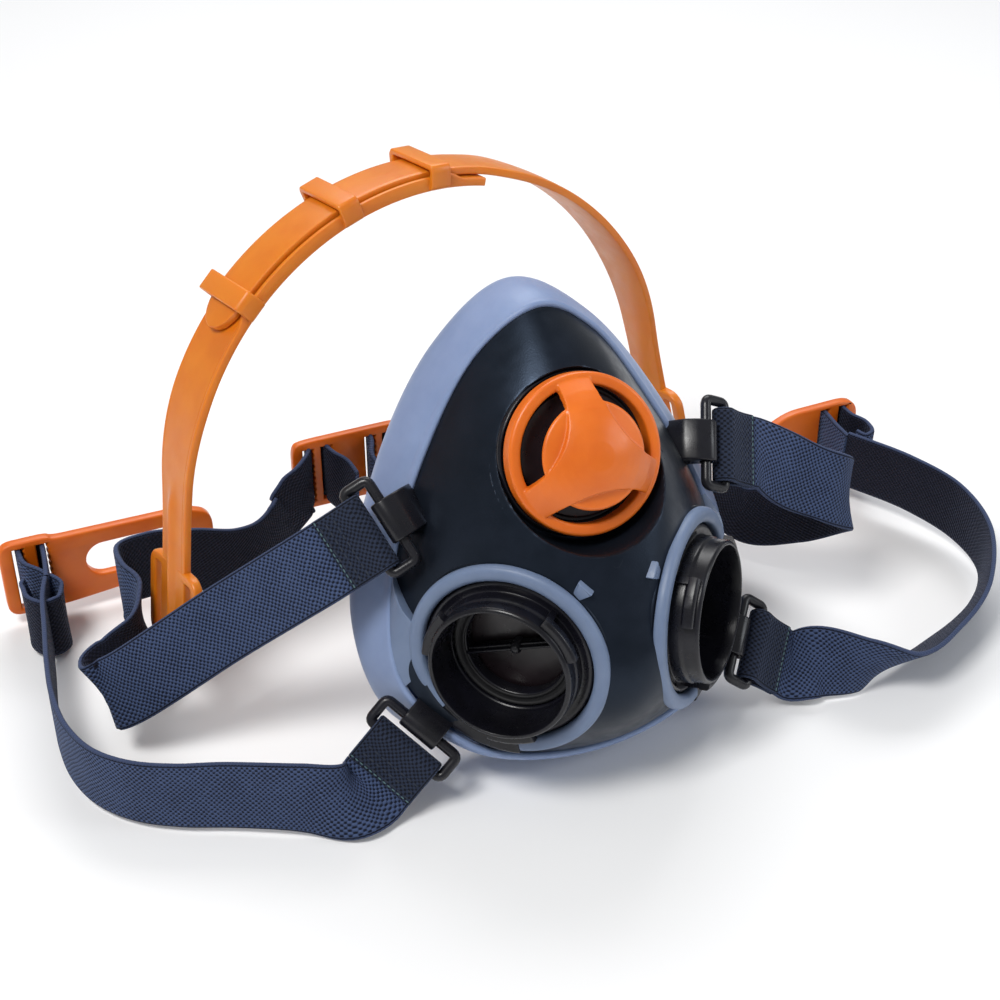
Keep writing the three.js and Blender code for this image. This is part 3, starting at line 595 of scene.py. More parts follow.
def dome(x, z):
    """How far back the shell's outer surface is."""
    turn = np.arctan2(x, z - DOME_CENTRE_Z)
    back = np.interp(turn, EDGE_TURN, EDGE[:, 1], period=2 * np.pi)
    sharp = np.interp(turn, EDGE_TURN, SHARPNESS, period=2 * np.pi)
    front = CREST_Y + CREST_FALL * (z - CREST_Z) ** 2
    share = edge_share(x, z)
    away = np.clip(share / CALM_SHARE, 0, 1) ** 2
    return front + (back - front) * share ** (CALM_SHARPNESS + (sharp - CALM_SHARPNESS) * away)


def dish_reach(x, z):
    """Distance from the dish's middle, stretched so that the dish hangs lower than the cover."""
    return np.minimum(np.hypot(x, z), np.hypot(x, z + DISH_DROP) - 0.25)


def shell_surface(x, z):
    """The dome with the dish for the exhale cover sunk in it."""
    slope, ease = 6.0, 0.25
    dish = DISH_FLOOR - slope * ease * np.logaddexp(0, (dish_reach(x, z) - DISH_R) / ease)
    return DISH_LIP / 2 * np.logaddexp(dome(x, z) / DISH_LIP * 2, dish / DISH_LIP * 2)


TO_MASK = np.array(MASK.inverted() @ INLET)  # the right inlet's frame, seen from the mask's


def on_dome(turn, radius):
    """Height over the inlet's plane at which the dome lies, round the inlet's axis (degrees)."""
    turn = np.radians(turn)
    flat = np.stack([radius * np.cos(turn), radius * np.sin(turn)], axis=-1)
    base = flat @ TO_MASK[:3, :2].T + TO_MASK[:3, 3]
    low, high = np.full(flat.shape[:-1], -30.0), np.full(flat.shape[:-1], 12.0)
    for _ in range(40):
        z = (low + high) / 2
        p = base + z[..., None] * TO_MASK[:3, 2]
        behind = p[..., 1] > dome(p[..., 0], p[..., 2])
        low, high = np.where(behind, z, low), np.where(behind, high, z)
    return (low + high) / 2


def from_inlet(turn, radius, z):
    """A place round the right inlet's axis, in the mask's frame."""
    turn = np.radians(turn)
    flat = np.stack([radius * np.cos(turn), radius * np.sin(turn), z + 0 * turn], axis=-1)
    return flat @ TO_MASK[:3, :3].T + TO_MASK[:3, 3]


# ---------- front shell ----------
def shell_points():
    """Places on the shell: rings in from its edge, and finer rings at the dish and the inlets."""
    share = np.concatenate([np.linspace(0.04, 0.88, 26), np.linspace(0.9, 1, 10)])
    reach = EDGE[:, [0, 2]] - (0, DOME_CENTRE_Z)
    grid = (share[:, None, None] * reach + (0, DOME_CENTRE_Z)).reshape(-1, 2)
    x, z = grid.T
    place = np.stack([np.abs(x), dome(x, z), z], axis=1) - TO_MASK[:3, 3]
    beside = np.linalg.norm(np.cross(place, TO_MASK[:3, 2]), axis=1)
    grid = grid[(dish_reach(x, z) > DISH_R + 4.2) & (beside > BOSS_R + 4.4)]
    rings = [grid]
    for r in [THROAT_R, 17.6, 18.8, *np.arange(DISH_R - 0.8, DISH_R + 5.2, 0.28)]:
        rings.append(arc(r, 0, 360 - 2.25, 159))
    turn = np.arange(0, 360, 3.0)
    for r in BOSS_R + np.array([-2.4, -1.5, -0.6, 0.2, 1.1, 2.2, 3.4]):
        p = from_inlet(turn, r, on_dome(turn, r))[:, [0, 2]]
        p = p[edge_share(p[:, 0], p[:, 1]) < 0.985]
        rings += [p, p * (-1, 1)]
    return np.vstack(rings)


def front_shell():
    points = shell_points()
    result = delaunay_2d_cdt([Vector(p) for p in points.tolist()], [], [], 0, 1e-5)
    flat, faces = np.array(result[0]), np.array([f for f in result[2] if len(f) == 3])
    hub = flat[faces].mean(axis=1)
    at = np.stack([np.abs(hub[:, 0]), dome(*hub.T), hub[:, 1]], axis=1) - TO_MASK[:3, 3]
    beside = np.linalg.norm(np.cross(at, TO_MASK[:3, 2]), axis=1)
    kept = (edge_share(*hub.T) < 1) & (np.hypot(*hub.T) > THROAT_R) & (beside > BOSS_R - 2.4)
    x, z = flat.T
    verts = np.stack([x, shell_surface(x, z), z], axis=1)
    shell = raw_mesh("front_shell_skin", verts, faces[kept], MASK)
    if shell.data.polygons[0].normal.dot(FORWARD) < 0:
        shell.data.flip_normals()
    wall = shell.modifiers.new("wall", "SOLIDIFY")
    wall.thickness = SHELL_WALL * MM
    wall.offset = -1
    finish_piece(bake(shell), ROOT, SHELL_BLACK, "front_shell")


def inlet_boss(side):
    """The rim of the shell that stands up round an inlet."""
    profile = fillet([(22.4, BOSS_FOOT), (BOSS_R, BOSS_FOOT), (BOSS_R, BOSS_TOP), (22.4, BOSS_TOP)], 0.5)
    boss = lathe("inlet_boss_" + side, profile, sided(INLET, side), 128)
    finish_piece(boss, ROOT, SHELL_BLACK)


# ---------- face seal ----------
def seal_section(k):
    """One cross-section: bead over the shell's edge, groove, band, rear rim and in-turned lip."""
    edge, rim = EDGE[k], RIM[k]
    out = np.array([rim[0], 0, rim[2] - DOME_CENTRE_Z])
    out /= np.linalg.norm(out)

    def at(base, outward, behind):
        return base + out * outward + np.array([0, behind, 0])

    half = (edge + rim) / 2
    return [
        at(edge, -0.5, 0.9), at(edge, -0.35, -0.25), at(edge, 0.35, -0.95), at(edge, 1.15, -0.75),
        at(edge, 1.65, 0.05), at(edge, 2.0, 0.9), at(edge * 0.75 + rim * 0.25, 2.15, 0),
        at(half, 2.2, 0), at(edge * 0.2 + rim * 0.8, 1.5, -0.4), at(rim, 0.05, -0.9),
        at(rim, -0.3, 0.5), at(rim, -1.6, 1.2), at(rim, -6.5, 0.4), at(rim, -10.5, -2.2),
        at(rim, -13, -4.6), at(rim, -12.9, -5.5), at(rim, -10, -3.6), at(rim, -6.5, -1.6),
        at(rim, -3, -2.2), at(half, 0, 1.0), at(edge, 0.2, 2.8), at(edge, -0.4, 2.0),
    ]


def face_seal():
    loops = [spline(seal_section(k), 3, closed=True) for k in range(len(EDGE))]
    verts, faces = loft(loops, closed=True)
    seal = raw_mesh("face_seal_skin", verts, faces, MASK)
    finish_piece(seal, ROOT, GREY_TPE, "face_seal", crease=70)


TAB_RING, TAB_SEAL = (-5, 29), (-9, 40)  # the web's two sides, round the inlet, at ring and seal


def seal_tab(side):
    """The web that joins the seal to an inlet's collar."""
    across = np.linspace(0, 1, 25)
    along = np.linspace(0, 1, 22)
    near = TAB_RING[0] + (TAB_RING[1] - TAB_RING[0]) * across
    far = TAB_SEAL[0] + (TAB_SEAL[1] - TAB_SEAL[0]) * across
    reach = np.full(len(across), 26.0)
    for _ in range(90):
        p = from_inlet(far, reach, on_dome(far, reach))
        reach = np.where(edge_share(p[:, 0], p[:, 2]) < 1.0, reach + 0.15, reach)
    turn = near + (far - near) * along[:, None]
    radius = 25.2 + (reach - 25.2) * along[:, None]
    ease = along[:, None] ** 1.3
    z = (1 - ease) * 0.7 + ease * (on_dome(turn, radius) + 0.9)
    top = from_inlet(turn, radius, z)
    low = from_inlet(turn, radius, np.minimum(z - 1.7, on_dome(turn, radius) - 0.3))
    loops = [np.vstack([a, b[::-1]]) for a, b in zip(top, low)]
    verts, faces = loft(loops)
    tab = raw_mesh("seal_tab_" + side, verts, faces, sided(MASK, side))
    bevel = tab.modifiers.new("bevel", "BEVEL")
    bevel.width = 0.5 * MM
    bevel.segments = 3
    bevel.angle_limit = math.radians(50)
    finish_piece(bake(tab), ROOT, SHADED_GREY_TPE, slot="grey_tpe", crease=60)


# ---------- inlets ----------
POINTER_TURN = 146


def collar(side):
    """The grey ring round an inlet, open where the connector's ear crosses it."""
    profile = fillet(
        [(COLLAR_IN, -1.2), (COLLAR_OUT, -1.2), (COLLAR_OUT, 0.9), (COLLAR_OUT - 1.1, 1.75),
         (COLLAR_IN + 0.9, 1.75), (COLLAR_IN, 0.9)], 0.9, 4,
    )
    span = (EAR[1] + 0.6 - 360, EAR[0] - 0.6)
    ring = lathe("inlet_collar_ring_" + side, profile, sided(INLET, side), 150, span)
    finish_piece(ring, ROOT, SHADED_GREY_TPE, "inlet_collar_" + side, slot="grey_tpe", crease=50)


def pointer(side):
    """The small wedge beside a collar that marks where a filter locks."""
    place = turned(INLET, POINTER_TURN, "Z")
    outline = fillet([(24.9, -0.9), (24.9, 0.9), (29.4, 2.3), (29.4, -2.3)], 0.35, 3)
    top = float(on_dome(np.array([POINTER_TURN]), np.array([28.0]))[0]) + 1.0
    wedge = plate("collar_pointer_" + side, outline, [], min(top - 4, 0), top, 0.35, sided(place, side))
    finish_piece(wedge, ROOT, SHADED_GREY_TPE, slot="grey_tpe")


LUGS = ((20, 36), (140, 36), (260, 36))  # each lug's start and length, in degrees


def connector(side):
    """The bayonet tube with its flange, ear, lugs, inner seat and spider."""
    m = sided(INLET, side)
    profile = fillet(
        [(16.6, -9), (21.8, -9), (21.8, 0.1), (21.0, 0.5), (19.9, 0.2), (TUBE_R, 0.2),
         (TUBE_R, 3.4), (TUBE_R - 0.5, 4.0), (TUBE_R - 0.5, 7.4), (TUBE_R - 1.1, TUBE_REACH),
         (17.2, TUBE_REACH), (16.9, 5.2), (16.9, -4), (16.4, -4.4)], 0.35, 3,
    )
    tube = lathe("connector_tube_" + side, profile, m, 128)
    inner = fillet(
        [(13, -9), (17.5, -9), (17.5, -5.9), (15.2, -5.9), (14.6, -5.2), (13.4, -5.2), (13, -5.6)], 0.3, 3
    )
    seat = lathe("seat", inner, m, 96)
    bar = block("bar", (28, 2.0, 2.6), (0, 0, -7.4), 0.4, m)
    rib = block("rib", (27, 0.7, 1.4), (0, 0, -5.6), 0.25, m)
    pin = lathe("pin", [(0, -8.6), (1.7, -8.6), (1.5, -5.4), (1.0, -4.4), (0.5, -4.1), (0, -4.0)], m, 24)
    parts = [seat, bar, rib, pin]
    for start, length in LUGS:
        lug = fillet([(17.8, 4.2), (20.6, 4.2), (20.6, 6.4), (20.0, 6.9), (17.8, 6.9)], 0.35, 3)
        parts.append(lathe("lug", lug, m, 16, (start, start + length)))
        stop = fillet([(17.8, 0.0), (20.3, 0.0), (20.3, 6.4), (17.8, 6.4)], 0.35, 3)
        parts.append(lathe("stop", stop, m, 5, (start, start + 5)))
    ear = fillet([(20.6, -1.1), (27, -1.1), (27, 0.9), (26.4, 1.4), (20.6, 1.4)], 0.4, 3)
    parts.append(lathe("ear", ear, m, 24, EAR))
    body = combine(tube, *parts)
    finish_piece(body, ROOT, BLACK_PLASTIC, "connector_" + side, crease=32)


def inlet_inside(side):
    """The lock ring, gasket and flap behind a connector."""
    m = sided(INLET, side)
    ring = fillet([(18.4, -11.6), (23, -11.6), (23, -9.3), (18.4, -9.3)], 0.4, 3)
    lock = lathe("lock_ring_" + side, ring, m, 96)
    finish_piece(lock, ROOT, BLACK_PLASTIC, "connector_lock_ring_" + side)
    lips = fillet(
        [(13.4, -6.0), (16.1, -6.0), (16.1, -4.7), (15.6, -4.6), (15.2, -4.9), (14.3, -4.9),
         (13.9, -4.6), (13.4, -4.7)], 0.2, 3,
    )
    gasket = lathe("gasket_" + side, lips, m, 96)
    finish_piece(gasket, ROOT, BLACK_RUBBER, "connector_gasket_" + side, slot="gasket_rubber")
    skin = [(0, -11.6), (1.2, -11.6), (1.6, -10.3), (8, -10.05), (15.6, -10.15), (15.6, -9.7),
            (15, -9.5), (8, -9.45), (0, -9.4)]
    flap = lathe("inhale_flap_skin_" + side, skin, m, 96)
    body = "inhale_flap_" + side
    finish_piece(flap, body, SILICONE, "inhale_flap_" + side)


# ---------- exhale valve ----------
SPOKES = (45, 135, 225, 315)  # degrees round the valve


def valve_seat():
    """The black seat on the dish's floor: stepped flange, tube, spokes and hub."""
    profile = fillet(
        [(14, -14), (16.4, -14), (16.4, -7.8), (20.6, -7.8), (20.6, -6.5), (20.2, -5.9),
         (19.7, -5.9), (19.4, -6.4), (18.2, -6.4), (17.9, -5.3), (16.9, -5.3), (16.6, -5.9),
         (15.6, -5.9), (15.2, -5.2), (14.3, -5.2), (14, -5.6)], 0.3, 3,
    )
    seat = lathe("valve_seat_body", profile, VALVE, 128)
    hub = lathe("hub", fillet([(1.7, -9), (4, -9), (4, -6), (1.7, -6)], 0.4), VALVE, 32)
    parts = [hub]
    for turn in SPOKES:
        parts.append(block("spoke", (11.6, 1.8, 2.4), (9.0, 0, -7.8), 0.35, turned(VALVE, turn, "Z")))
    body = combine(seat, *parts)
    finish_piece(body, ROOT, BLACK_PLASTIC, "exhale_valve_seat")


def exhale_flap():
    skin = [(0, -12.5), (0.6, -12.5), (1.55, -10.8), (1.0, -10.4), (1.0, -5.0), (3, -4.75),
            (14.6, -4.85), (15.4, -4.7), (15.4, -4.4), (14, -4.2), (3, -4.05), (0, -4.0)]
    flap = lathe("exhale_flap_skin", skin, VALVE, 96)
    finish_piece(flap, "exhale_flap", SILICONE, "exhale_flap")


ARM_HALF, ARM_WAIST = 13.0, 4.8  # the arms' half width at the rim, in degrees, and the hollows' depth


def arms_outline(reach):
    """Three arms that widen from the rim to the middle between concave sides."""
    out = []
    for turn in COVER_ARMS:
        out.append(arc(reach, turn - ARM_HALF, turn + ARM_HALF, 10))
        start, stop = out[-1][-1], arc(reach, turn + 120 - ARM_HALF, turn + 121 - ARM_HALF, 1)[0]
        hollow = arc(ARM_WAIST, turn + 60, turn + 61, 1)[0]
        t = np.linspace(0, 1, 24)[1:-1, None]
        out.append((1 - t) ** 2 * start + 2 * t * (1 - t) * hollow + t**2 * stop)
    return np.vstack(out)


def exhale_cover():
    """The orange cover: a rim, a disc that stands in front of it and three arms that climb over both."""
    rim = fillet(
        [(COVER_RING_IN, -5), (COVER_R, -5), (COVER_R, 0.05), (COVER_RING_IN + 0.2, 0.05),
         (COVER_RING_IN, -0.9)], 1.15, 6,
    )
    ring = lathe("exhale_cover_body", rim, VALVE, 160)
    edge = COVER_DISC_R
    disc = lathe("disc", [(0, 3.4), (edge - 0.6, 3.4), (edge - 0.15, 3.6), (edge, 4.0), (edge - 0.1, 4.5),
                          (edge - 0.5, 4.8), (9, 5.5), (4.5, 5.9), (0, 6.0)], VALVE, 128)
    hood = lathe("hood", [(0, 3.6), (12.5, 3.6), (17.2, -1.8), (19.2, -1.8), (19.2, -0.6), (18.6, 0.12),
                          (17.9, 0.75), (15.5, 3.0), (13.5, 4.5), (11.5, 5.8), (9.5, 6.8), (7.5, 7.6),
                          (5.5, 8.2), (3.5, 8.7), (1.7, 8.93), (0, 9)], VALVE, 128)
    arms = plate("arms", arms_outline(COVER_R - 1.1), [], -3, 12, 0, VALVE)
    combine(arms, hood, operation="INTERSECT")
    cover = combine(ring, disc, arms)
    soften(cover, voxel=0.22, rounds=4)
    finish_piece(cover, "exhale_cover", COVER_ORANGE, "exhale_cover", crease=50)


# ---------- webbing ----------
SEGMENTS = 10  # across the strap's width
EDGE_TURNS = (60, 20, -20, -60)  # round its two thin edges, in degrees


def ribbon_section():
    """Across and out, round the webbing's section: its outer face first, then an edge, and so on."""
    r = STRAP_T / 2
    half = STRAP_W / 2 - r
    flat = np.linspace(-half, half, SEGMENTS + 1)
    top = [(a, r) for a in flat]
    bottom = [(a, -r) for a in flat[::-1]]
    side = [(r * math.cos(math.radians(t)), r * math.sin(math.radians(t))) for t in EDGE_TURNS]
    right = [(half + c, s) for c, s in side]
    left = [(-(half + c), -s) for c, s in side]
    return np.array(top + right + bottom + left)


def ribbon_rows(run, step=0.9):
    """Places, ways across and normals at even steps along a run of webbing."""
    rows, places = even(spline(run, 14), step)
    at, across = rows[:, :3], rows[:, 3:6]
    along = np.gradient(at, axis=0)
    along /= np.linalg.norm(along, axis=1)[:, None]
    across = across - (across * along).sum(axis=1)[:, None] * along
    across /= np.linalg.norm(across, axis=1)[:, None]
    return at, across, np.cross(along, across), places


# The inside face gets the darker copy of the webbing: painted shade.
OUTSIDE, SHADED_INSIDE = 0, 1  # the materials of the webbing's two faces


def ribbon(name, rows, matrix, first=0, last=None, outer=1):
    """Webbing from one row of a run to another. `outer` is the side of the normal that shows."""
    at, across, normal, places = [column[first:last] for column in rows]
    section = ribbon_section()
    loops = at[:, None] + section[:, 0, None] * across[:, None] + section[:, 1, None] * normal[:, None]
    verts, faces = loft(loops)
    uv = [(s, a) for s in places for a in section[:, 0]]
    top, bottom = (OUTSIDE, SHADED_INSIDE) if outer > 0 else (SHADED_INSIDE, OUTSIDE)
    edge = [OUTSIDE] * (len(EDGE_TURNS) + 1)
    kinds = [top] * SEGMENTS + edge + [bottom] * SEGMENTS + edge
    return raw_mesh(name, verts, faces, matrix, uv, kinds * (len(at) - 1) + [OUTSIDE] * 2)


def webbing_piece(strap, body, *nodes, sewn=False):
    slot = "sewn_webbing" if sewn else "webbing"
    # Sewn ends and inside faces take darker copies of the webbing: painted shade.
    outside = WEBBING_SEWN_SHADED if sewn else WEBBING_OUT
    finish_piece(strap, body, [outside, WEBBING_SHADED_IN], *nodes, slot=slot, crease=75)


def stitches(name, rows, at_rows, matrix, body, material, reach=8.6, pitch=2.1, radius=0.2):
    """Rows of raised stitches across the webbing, at the rows given."""
    places, across, normal, _ = rows
    verts, faces = [], []
    turn = np.linspace(0, 2 * np.pi, 6, endpoint=False)
    for k in at_rows:
        lift = -normal[k] * (STRAP_T / 2 + 0.02)
        along = np.cross(across[k], normal[k])
        for a in np.arange(-reach, reach - pitch / 3, pitch):
            length = pitch * 0.68
            loops = []
            for share, size in ((0, 0.25), (0.12, 0.8), (0.5, 1.1), (0.88, 0.8), (1, 0.25)):
                spot = places[k] + lift + across[k] * (a + share * length)
                ring = np.cos(turn)[:, None] * along + np.sin(turn)[:, None] * normal[k]
                loops.append(spot + radius * size * ring)
            v, f = loft(loops)
            faces += [tuple(i + len(verts) for i in face) for face in f]
            verts += v.tolist()
    dashes = raw_mesh(name, verts, faces, matrix)
    finish_piece(dashes, body, material, slot="sewn_webbing")


# Runs about the cover's middle, in the object's axes: place, then the way across the webbing.
UPPER_LEFT = [
    [-85, 31.5, -48, 0.32, -0.66, -0.68], [-112, 42, -69.5, 0.32, -0.66, -0.68],
    [-115.8, 44.9, -72, 0.32, -0.66, -0.68], [-114.6, 49.6, -72, 0.25, -0.5, -0.8],
    [-108, 52.6, -69, 0.15, -0.3, -0.94], [-102.6, 57.2, -64, 0.05, -0.1, -0.98],
    [-101.4, 63, -60, 0, -0.05, -1], [-103.2, 68.4, -58, 0, -0.1, -1],
    [-102.4, 75, -58, 0, -0.1, -1], [-94.5, 79.6, -60, 0, -0.1, -1], [-82, 84, -65, 0, 0, -1],
    [-69, 87.5, -71, 0, 0, -1], [-59.5, 91, -72.5, 0, 0, -1], [-52.5, 95.5, -70.8, 0, 0, -1],
    [-48.5, 98.6, -68.2, 0, 0, -1],
]
UPPER_RIGHT = [
    [74, 17, -37, -0.1, -0.3, -0.95], [85, 15, -43, 0, -0.2, -0.98],
    [91.5, 18.5, -49, 0, -0.15, -1], [92, 25, -55, 0, -0.1, -1], [86, 36, -65, 0, 0, -1],
    [77, 48, -71, 0, 0, -1], [72, 58, -67, 0, 0, -1],
]
LOWER_LEFT = [
    [-68.5, -8, -81.5, 0.3, -0.45, -0.84], [-79, -4.2, -79.6, 0.1, -0.25, -0.97],
    [-95.5, 3.8, -79.4, 0, -0.15, -1], [-107, 8.6, -79.4, 0, -0.1, -1],
    [-117, 14.8, -79.4, 0, -0.05, -1], [-124.4, 23.5, -79.4, 0, 0, -1],
    [-128.3, 35, -79.4, 0, 0, -1], [-128.9, 48, -79.4, 0, 0, -1], [-127.4, 62, -79.3, 0, 0, -1],
    [-125, 76, -78.8, 0, 0, -1], [-122.8, 88, -77.5, 0, 0, -1], [-120, 96, -76, 0, 0, -1],
]
LOWER_RIGHT = [
    [68.5, -10, -80.3, -0.3, -0.35, -0.88], [79, -17, -79.7, 0, 0.1, -1],
    [90, -18, -81.2, 0.25, 0.65, -0.7], [107, -12.5, -82, 0.28, 0.68, -0.66],
    [127, -2, -80.8, 0.25, 0.55, -0.8], [139.5, 12.5, -78.3, 0.1, 0.2, -0.97],
    [141.5, 30, -76.5, 0, 0, -1], [135.5, 47, -75, 0, 0, -1], [124.5, 66, -74.5, 0, 0, -1],
]
UPPER_RIGHT_BACK = [
    [62, 99, -68, 0, 0, -1], [45, 106, -66, 0, 0, -1], [15, 112, -62, 0, 0, -1],
    [-7, 113.5, -62, 0, 0, -1],
]
STRAP_LEADS = (SEWN_END, 21.5)  # where a strap starts, from its buckle's inner bar
FOLLOW = 26  # rows of a strap in its first piece, by the buckle


def from_buckle(level, side, run):
    """A strap's run with the stretch that leaves its buckle put in front."""
    m = OBJECT.inverted() @ sided(buckle_frame(level), side)
    away, across = m.to_3x3() @ RIGHT, -(m.to_3x3() @ BACK)
    lead = [list(m.translation + away * distance) + list(across) for distance in STRAP_LEADS]
    return lead + run


def strap_start(level, side, run):
    """A strap that leaves a buckle: its first stretch is made as a piece of its own, outside any body;
    strap_rest makes the rest.
    """
    outer = 1 if side == "left" else -1
    rows = ribbon_rows(from_buckle(level, side, run))
    name = "strap_%s_%s" % (level, side)
    first = ribbon(name + "_start", rows, OBJECT, 0, FOLLOW + 1, outer=outer)
    webbing_piece(first, None)
    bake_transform(first)
    return rows, outer, name


def strap_rest(rows, outer, name, last=None):
    rest = ribbon(name + "_run", rows, OBJECT, FOLLOW, last, outer=outer)
    webbing_piece(rest, ROOT, name)


def sewn_loop(level, side):
    """The strap's end, folded round the buckle's outer bar and sewn down."""
    reach = BAR_R + 0.3 + STRAP_T / 2
    top = [[SEWN_END, 0, 0.78], [SEWN_END - 3, 0, 0.8], [SEWN_END - 6, 0, 1.2]]
    turn = arc(reach, 60, 300, 10, (BAR_SPACING, 0))
    wrap = [[x, 0, z] for x, z in turn]
    bottom = [[x, y, -z] for x, y, z in top[::-1]]
    run = [p + [0, 1, 0] for p in top + wrap + bottom]
    rows = ribbon_rows(run, step=0.6)
    m = sided(buckle_frame(level), side)
    name = "%s_%s" % (level, side)
    loop = ribbon("sewn_loop_skin_" + name, rows, m, outer=-1)
    webbing_piece(loop, "buckle_" + name, "sewn_loop_" + name, sewn=True)
    stitches("stitches_" + name, rows, [2, 5, 9], m, "buckle_" + name, NAVY_THREAD)
    stitches("stitch_line_" + name, rows, [1], m, "buckle_" + name, TEAL_THREAD,
             reach=9.4, pitch=1.5, radius=0.16)


# ---------- buckles and anchors ----------
def buckle(level, side):
    """A flat two-bar buckle with a stout outer frame."""
    m = sided(buckle_frame(level), side)
    h = BUCKLE_W / 2 - BAR_R
    path = fillet([(0, -h), (BAR_SPACING, -h), (BAR_SPACING, h), (0, h)], 1.6, 5)
    p = np.array([[x, y, 0] for x, y in path])
    along = np.roll(p, -1, axis=0) - np.roll(p, 1, axis=0)
    along /= np.linalg.norm(along, axis=1)[:, None]
    out = np.cross(along, (0, 0, 1))
    turn = np.linspace(0, 2 * np.pi, 14, endpoint=False)
    loops = [q + BAR_R * (np.cos(turn)[:, None] * o + np.sin(turn)[:, None] * np.array([0, 0, 1.0]))
             for q, o in zip(p, out)]
    verts, faces = loft(loops, closed=True)
    name = "%s_%s" % (level, side)
    frame_bar = raw_mesh("buckle_frame_" + name, verts, faces, m)
    finish_piece(frame_bar, "buckle_" + name, BLACK_PLASTIC, "buckle_" + name)


def strap_anchor(level, side):
    """The black hook beside the seal that holds a buckle's inner bar."""
    m = sided(buckle_frame(level), side)
    lay = turned(m, 90, "X")
    r = BAR_R + 0.3
    outer = np.vstack([arc(r + 1.2, -70, 115, 18), [[-4.0, 1.3], [-6.6, -1.6], [-8.0, -7], [-2.5, -7.6]]])
    eye = arc(r, 0, 350, 35)
    half = ANCHOR_W / 2
    name = "%s_%s" % (level, side)
    hook = plate("anchor_hook_" + name, fillet(outer, 0.8, 2), [eye], -half, half, 0.5, lay)
    finish_piece(hook, ROOT, BLACK_PLASTIC, "strap_anchor_" + name)


# ---------- crown band: X along its feet, Y up the arch, Z forwards, about the arc's centre ----------
ARC_FROM, ARC_TO = 10, 170  # the arc's ends; beyond them the legs run straight
LEG_W = 13.0


def crown_at(turn, lift=0.0, across=0.0):
    """A place on the crown band: an angle on the arch, out from its middle, and forwards."""
    on = np.radians(np.clip(turn, ARC_FROM, ARC_TO))
    past = np.radians(turn) - on
    out = np.array([np.cos(on), np.sin(on), 0])
    along = np.array([-np.sin(on), np.cos(on), 0])
    return out * (CROWN_R + lift) + along * CROWN_R * past + np.array([0, 0, across])


def crown_frame(turn, lift=0.0):
    """X forwards across the band, Y out of the arch and Z along it."""
    along = crown_at(turn + 0.5) - crown_at(turn - 0.5)
    place = CROWN @ Vector(crown_at(turn, lift))
    return axes(place, CROWN.to_3x3() @ UP, CROWN.to_3x3() @ Vector(along))


def ease(value, low, high):
    t = min(1.0, max(0.0, (value - low) / (high - low)))
    return t * t * (3 - 2 * t)


def leg_share(turn):
    return ease(max(ARC_FROM + 20 - turn, turn - ARC_TO + 20), 0, 30)


def inner_section(turn):
    """The left band: raised borders where the other band slides, and a rib down the leg."""
    half = (CROWN_W + (LEG_W - CROWN_W) * leg_share(turn)) / 2
    t = CROWN_T / 2
    border = 1.5 * ease(turn, 79, 82) * (1 - ease(turn, 132, 136))
    rib = 1.5 * ease(turn, 168, 176)
    r = 0.45
    side = [(half - r, -t), (half - 0.1, -t + 0.15), (half, -t + r), (half, t + border - r),
            (half - 0.12, t + border - 0.12), (half - r, t + border), (half - 1.0, t + border),
            (half - 1.25, t + border - 0.12), (half - 1.35, t + border * 0.5), (half - 1.45, t)]
    floor = [(a * (half - 1.6), t + rib * math.exp(-((a * half / 2.4) ** 2)))
             for a in np.linspace(0.98, -0.98, 15)]
    other = [(-a, b) for a, b in side[::-1]]
    return side + floor + other


def outer_section(turn):
    """The right band: a narrow tongue with a round tip, widening towards its leg."""
    half = CROWN_W / 2 - 1.9 * ease(turn, 66, 76)
    half -= (CROWN_W - LEG_W) / 2 * leg_share(turn)
    tip = min(1.0, max(0.0, (turn - TONGUE_END + 6.5) / 6.5))
    half *= math.sqrt(max(1 - tip**2, 0.003))
    t, r = CROWN_T / 2, min(0.5, half / 2)
    crown = 0.25 * (half / 8)
    right = [(half - r, -t), (half - 0.15 * r, -t + 0.2), (half, -t + r), (half, t - r),
             (half - 0.15 * r, t - 0.2), (half - r, t)]
    top = [(a * (half - r), t + crown * (1 - a * a)) for a in np.linspace(0.9, -0.9, 9)]
    left = [(-a, b) for a, b in right[::-1]]
    return right + top + left


def crown_loft(name, turns, section, lift):
    loops = [[crown_at(turn, lift + b, a) for a, b in section(turn)] for turn in turns]
    verts, faces = loft(loops)
    return raw_mesh(name, verts, faces, CROWN)


def keeper(turn):
    """A bridge on the left band that holds the right band down."""
    low, roof, top = -CROWN_T / 2 + 0.1, CROWN_T * 1.5 + 1.0, CROWN_T * 1.5 + 2.5
    outline = fillet([(-10.6, low + 0.9), (-9.6, low), (8.9, low), (9.9, low + 0.7), (10.0, roof),
                      (9.3, top), (-10.4, top), (-11.3, roof)], 0.7, 3)
    channel = fillet([(-9.2, CROWN_T / 2), (8.6, CROWN_T / 2), (8.6, roof), (-9.2, roof)], 0.4, 2)
    return plate("keeper", outline, [channel], -2.9, 2.9, 0.45, crown_frame(turn))


PADDLE_W, PADDLE_L, PADDLE_T = 27.0, 26.0, 2.6


def paddle(turn, lift):
    """The flat foot of a leg, with a slot for the webbing on each side of it."""
    slots = [rounded_box(3.6, 20.5, 0.8, 2) + (x, 0) for x in (-8.6, 8.6)]
    lay = turned(crown_frame(turn, lift), -90, "X")
    half = PADDLE_T / 2
    outline = rounded_box(PADDLE_W, PADDLE_L, 4.5, 6)
    return plate("paddle", outline, slots, -half, half, 0.6, lay)


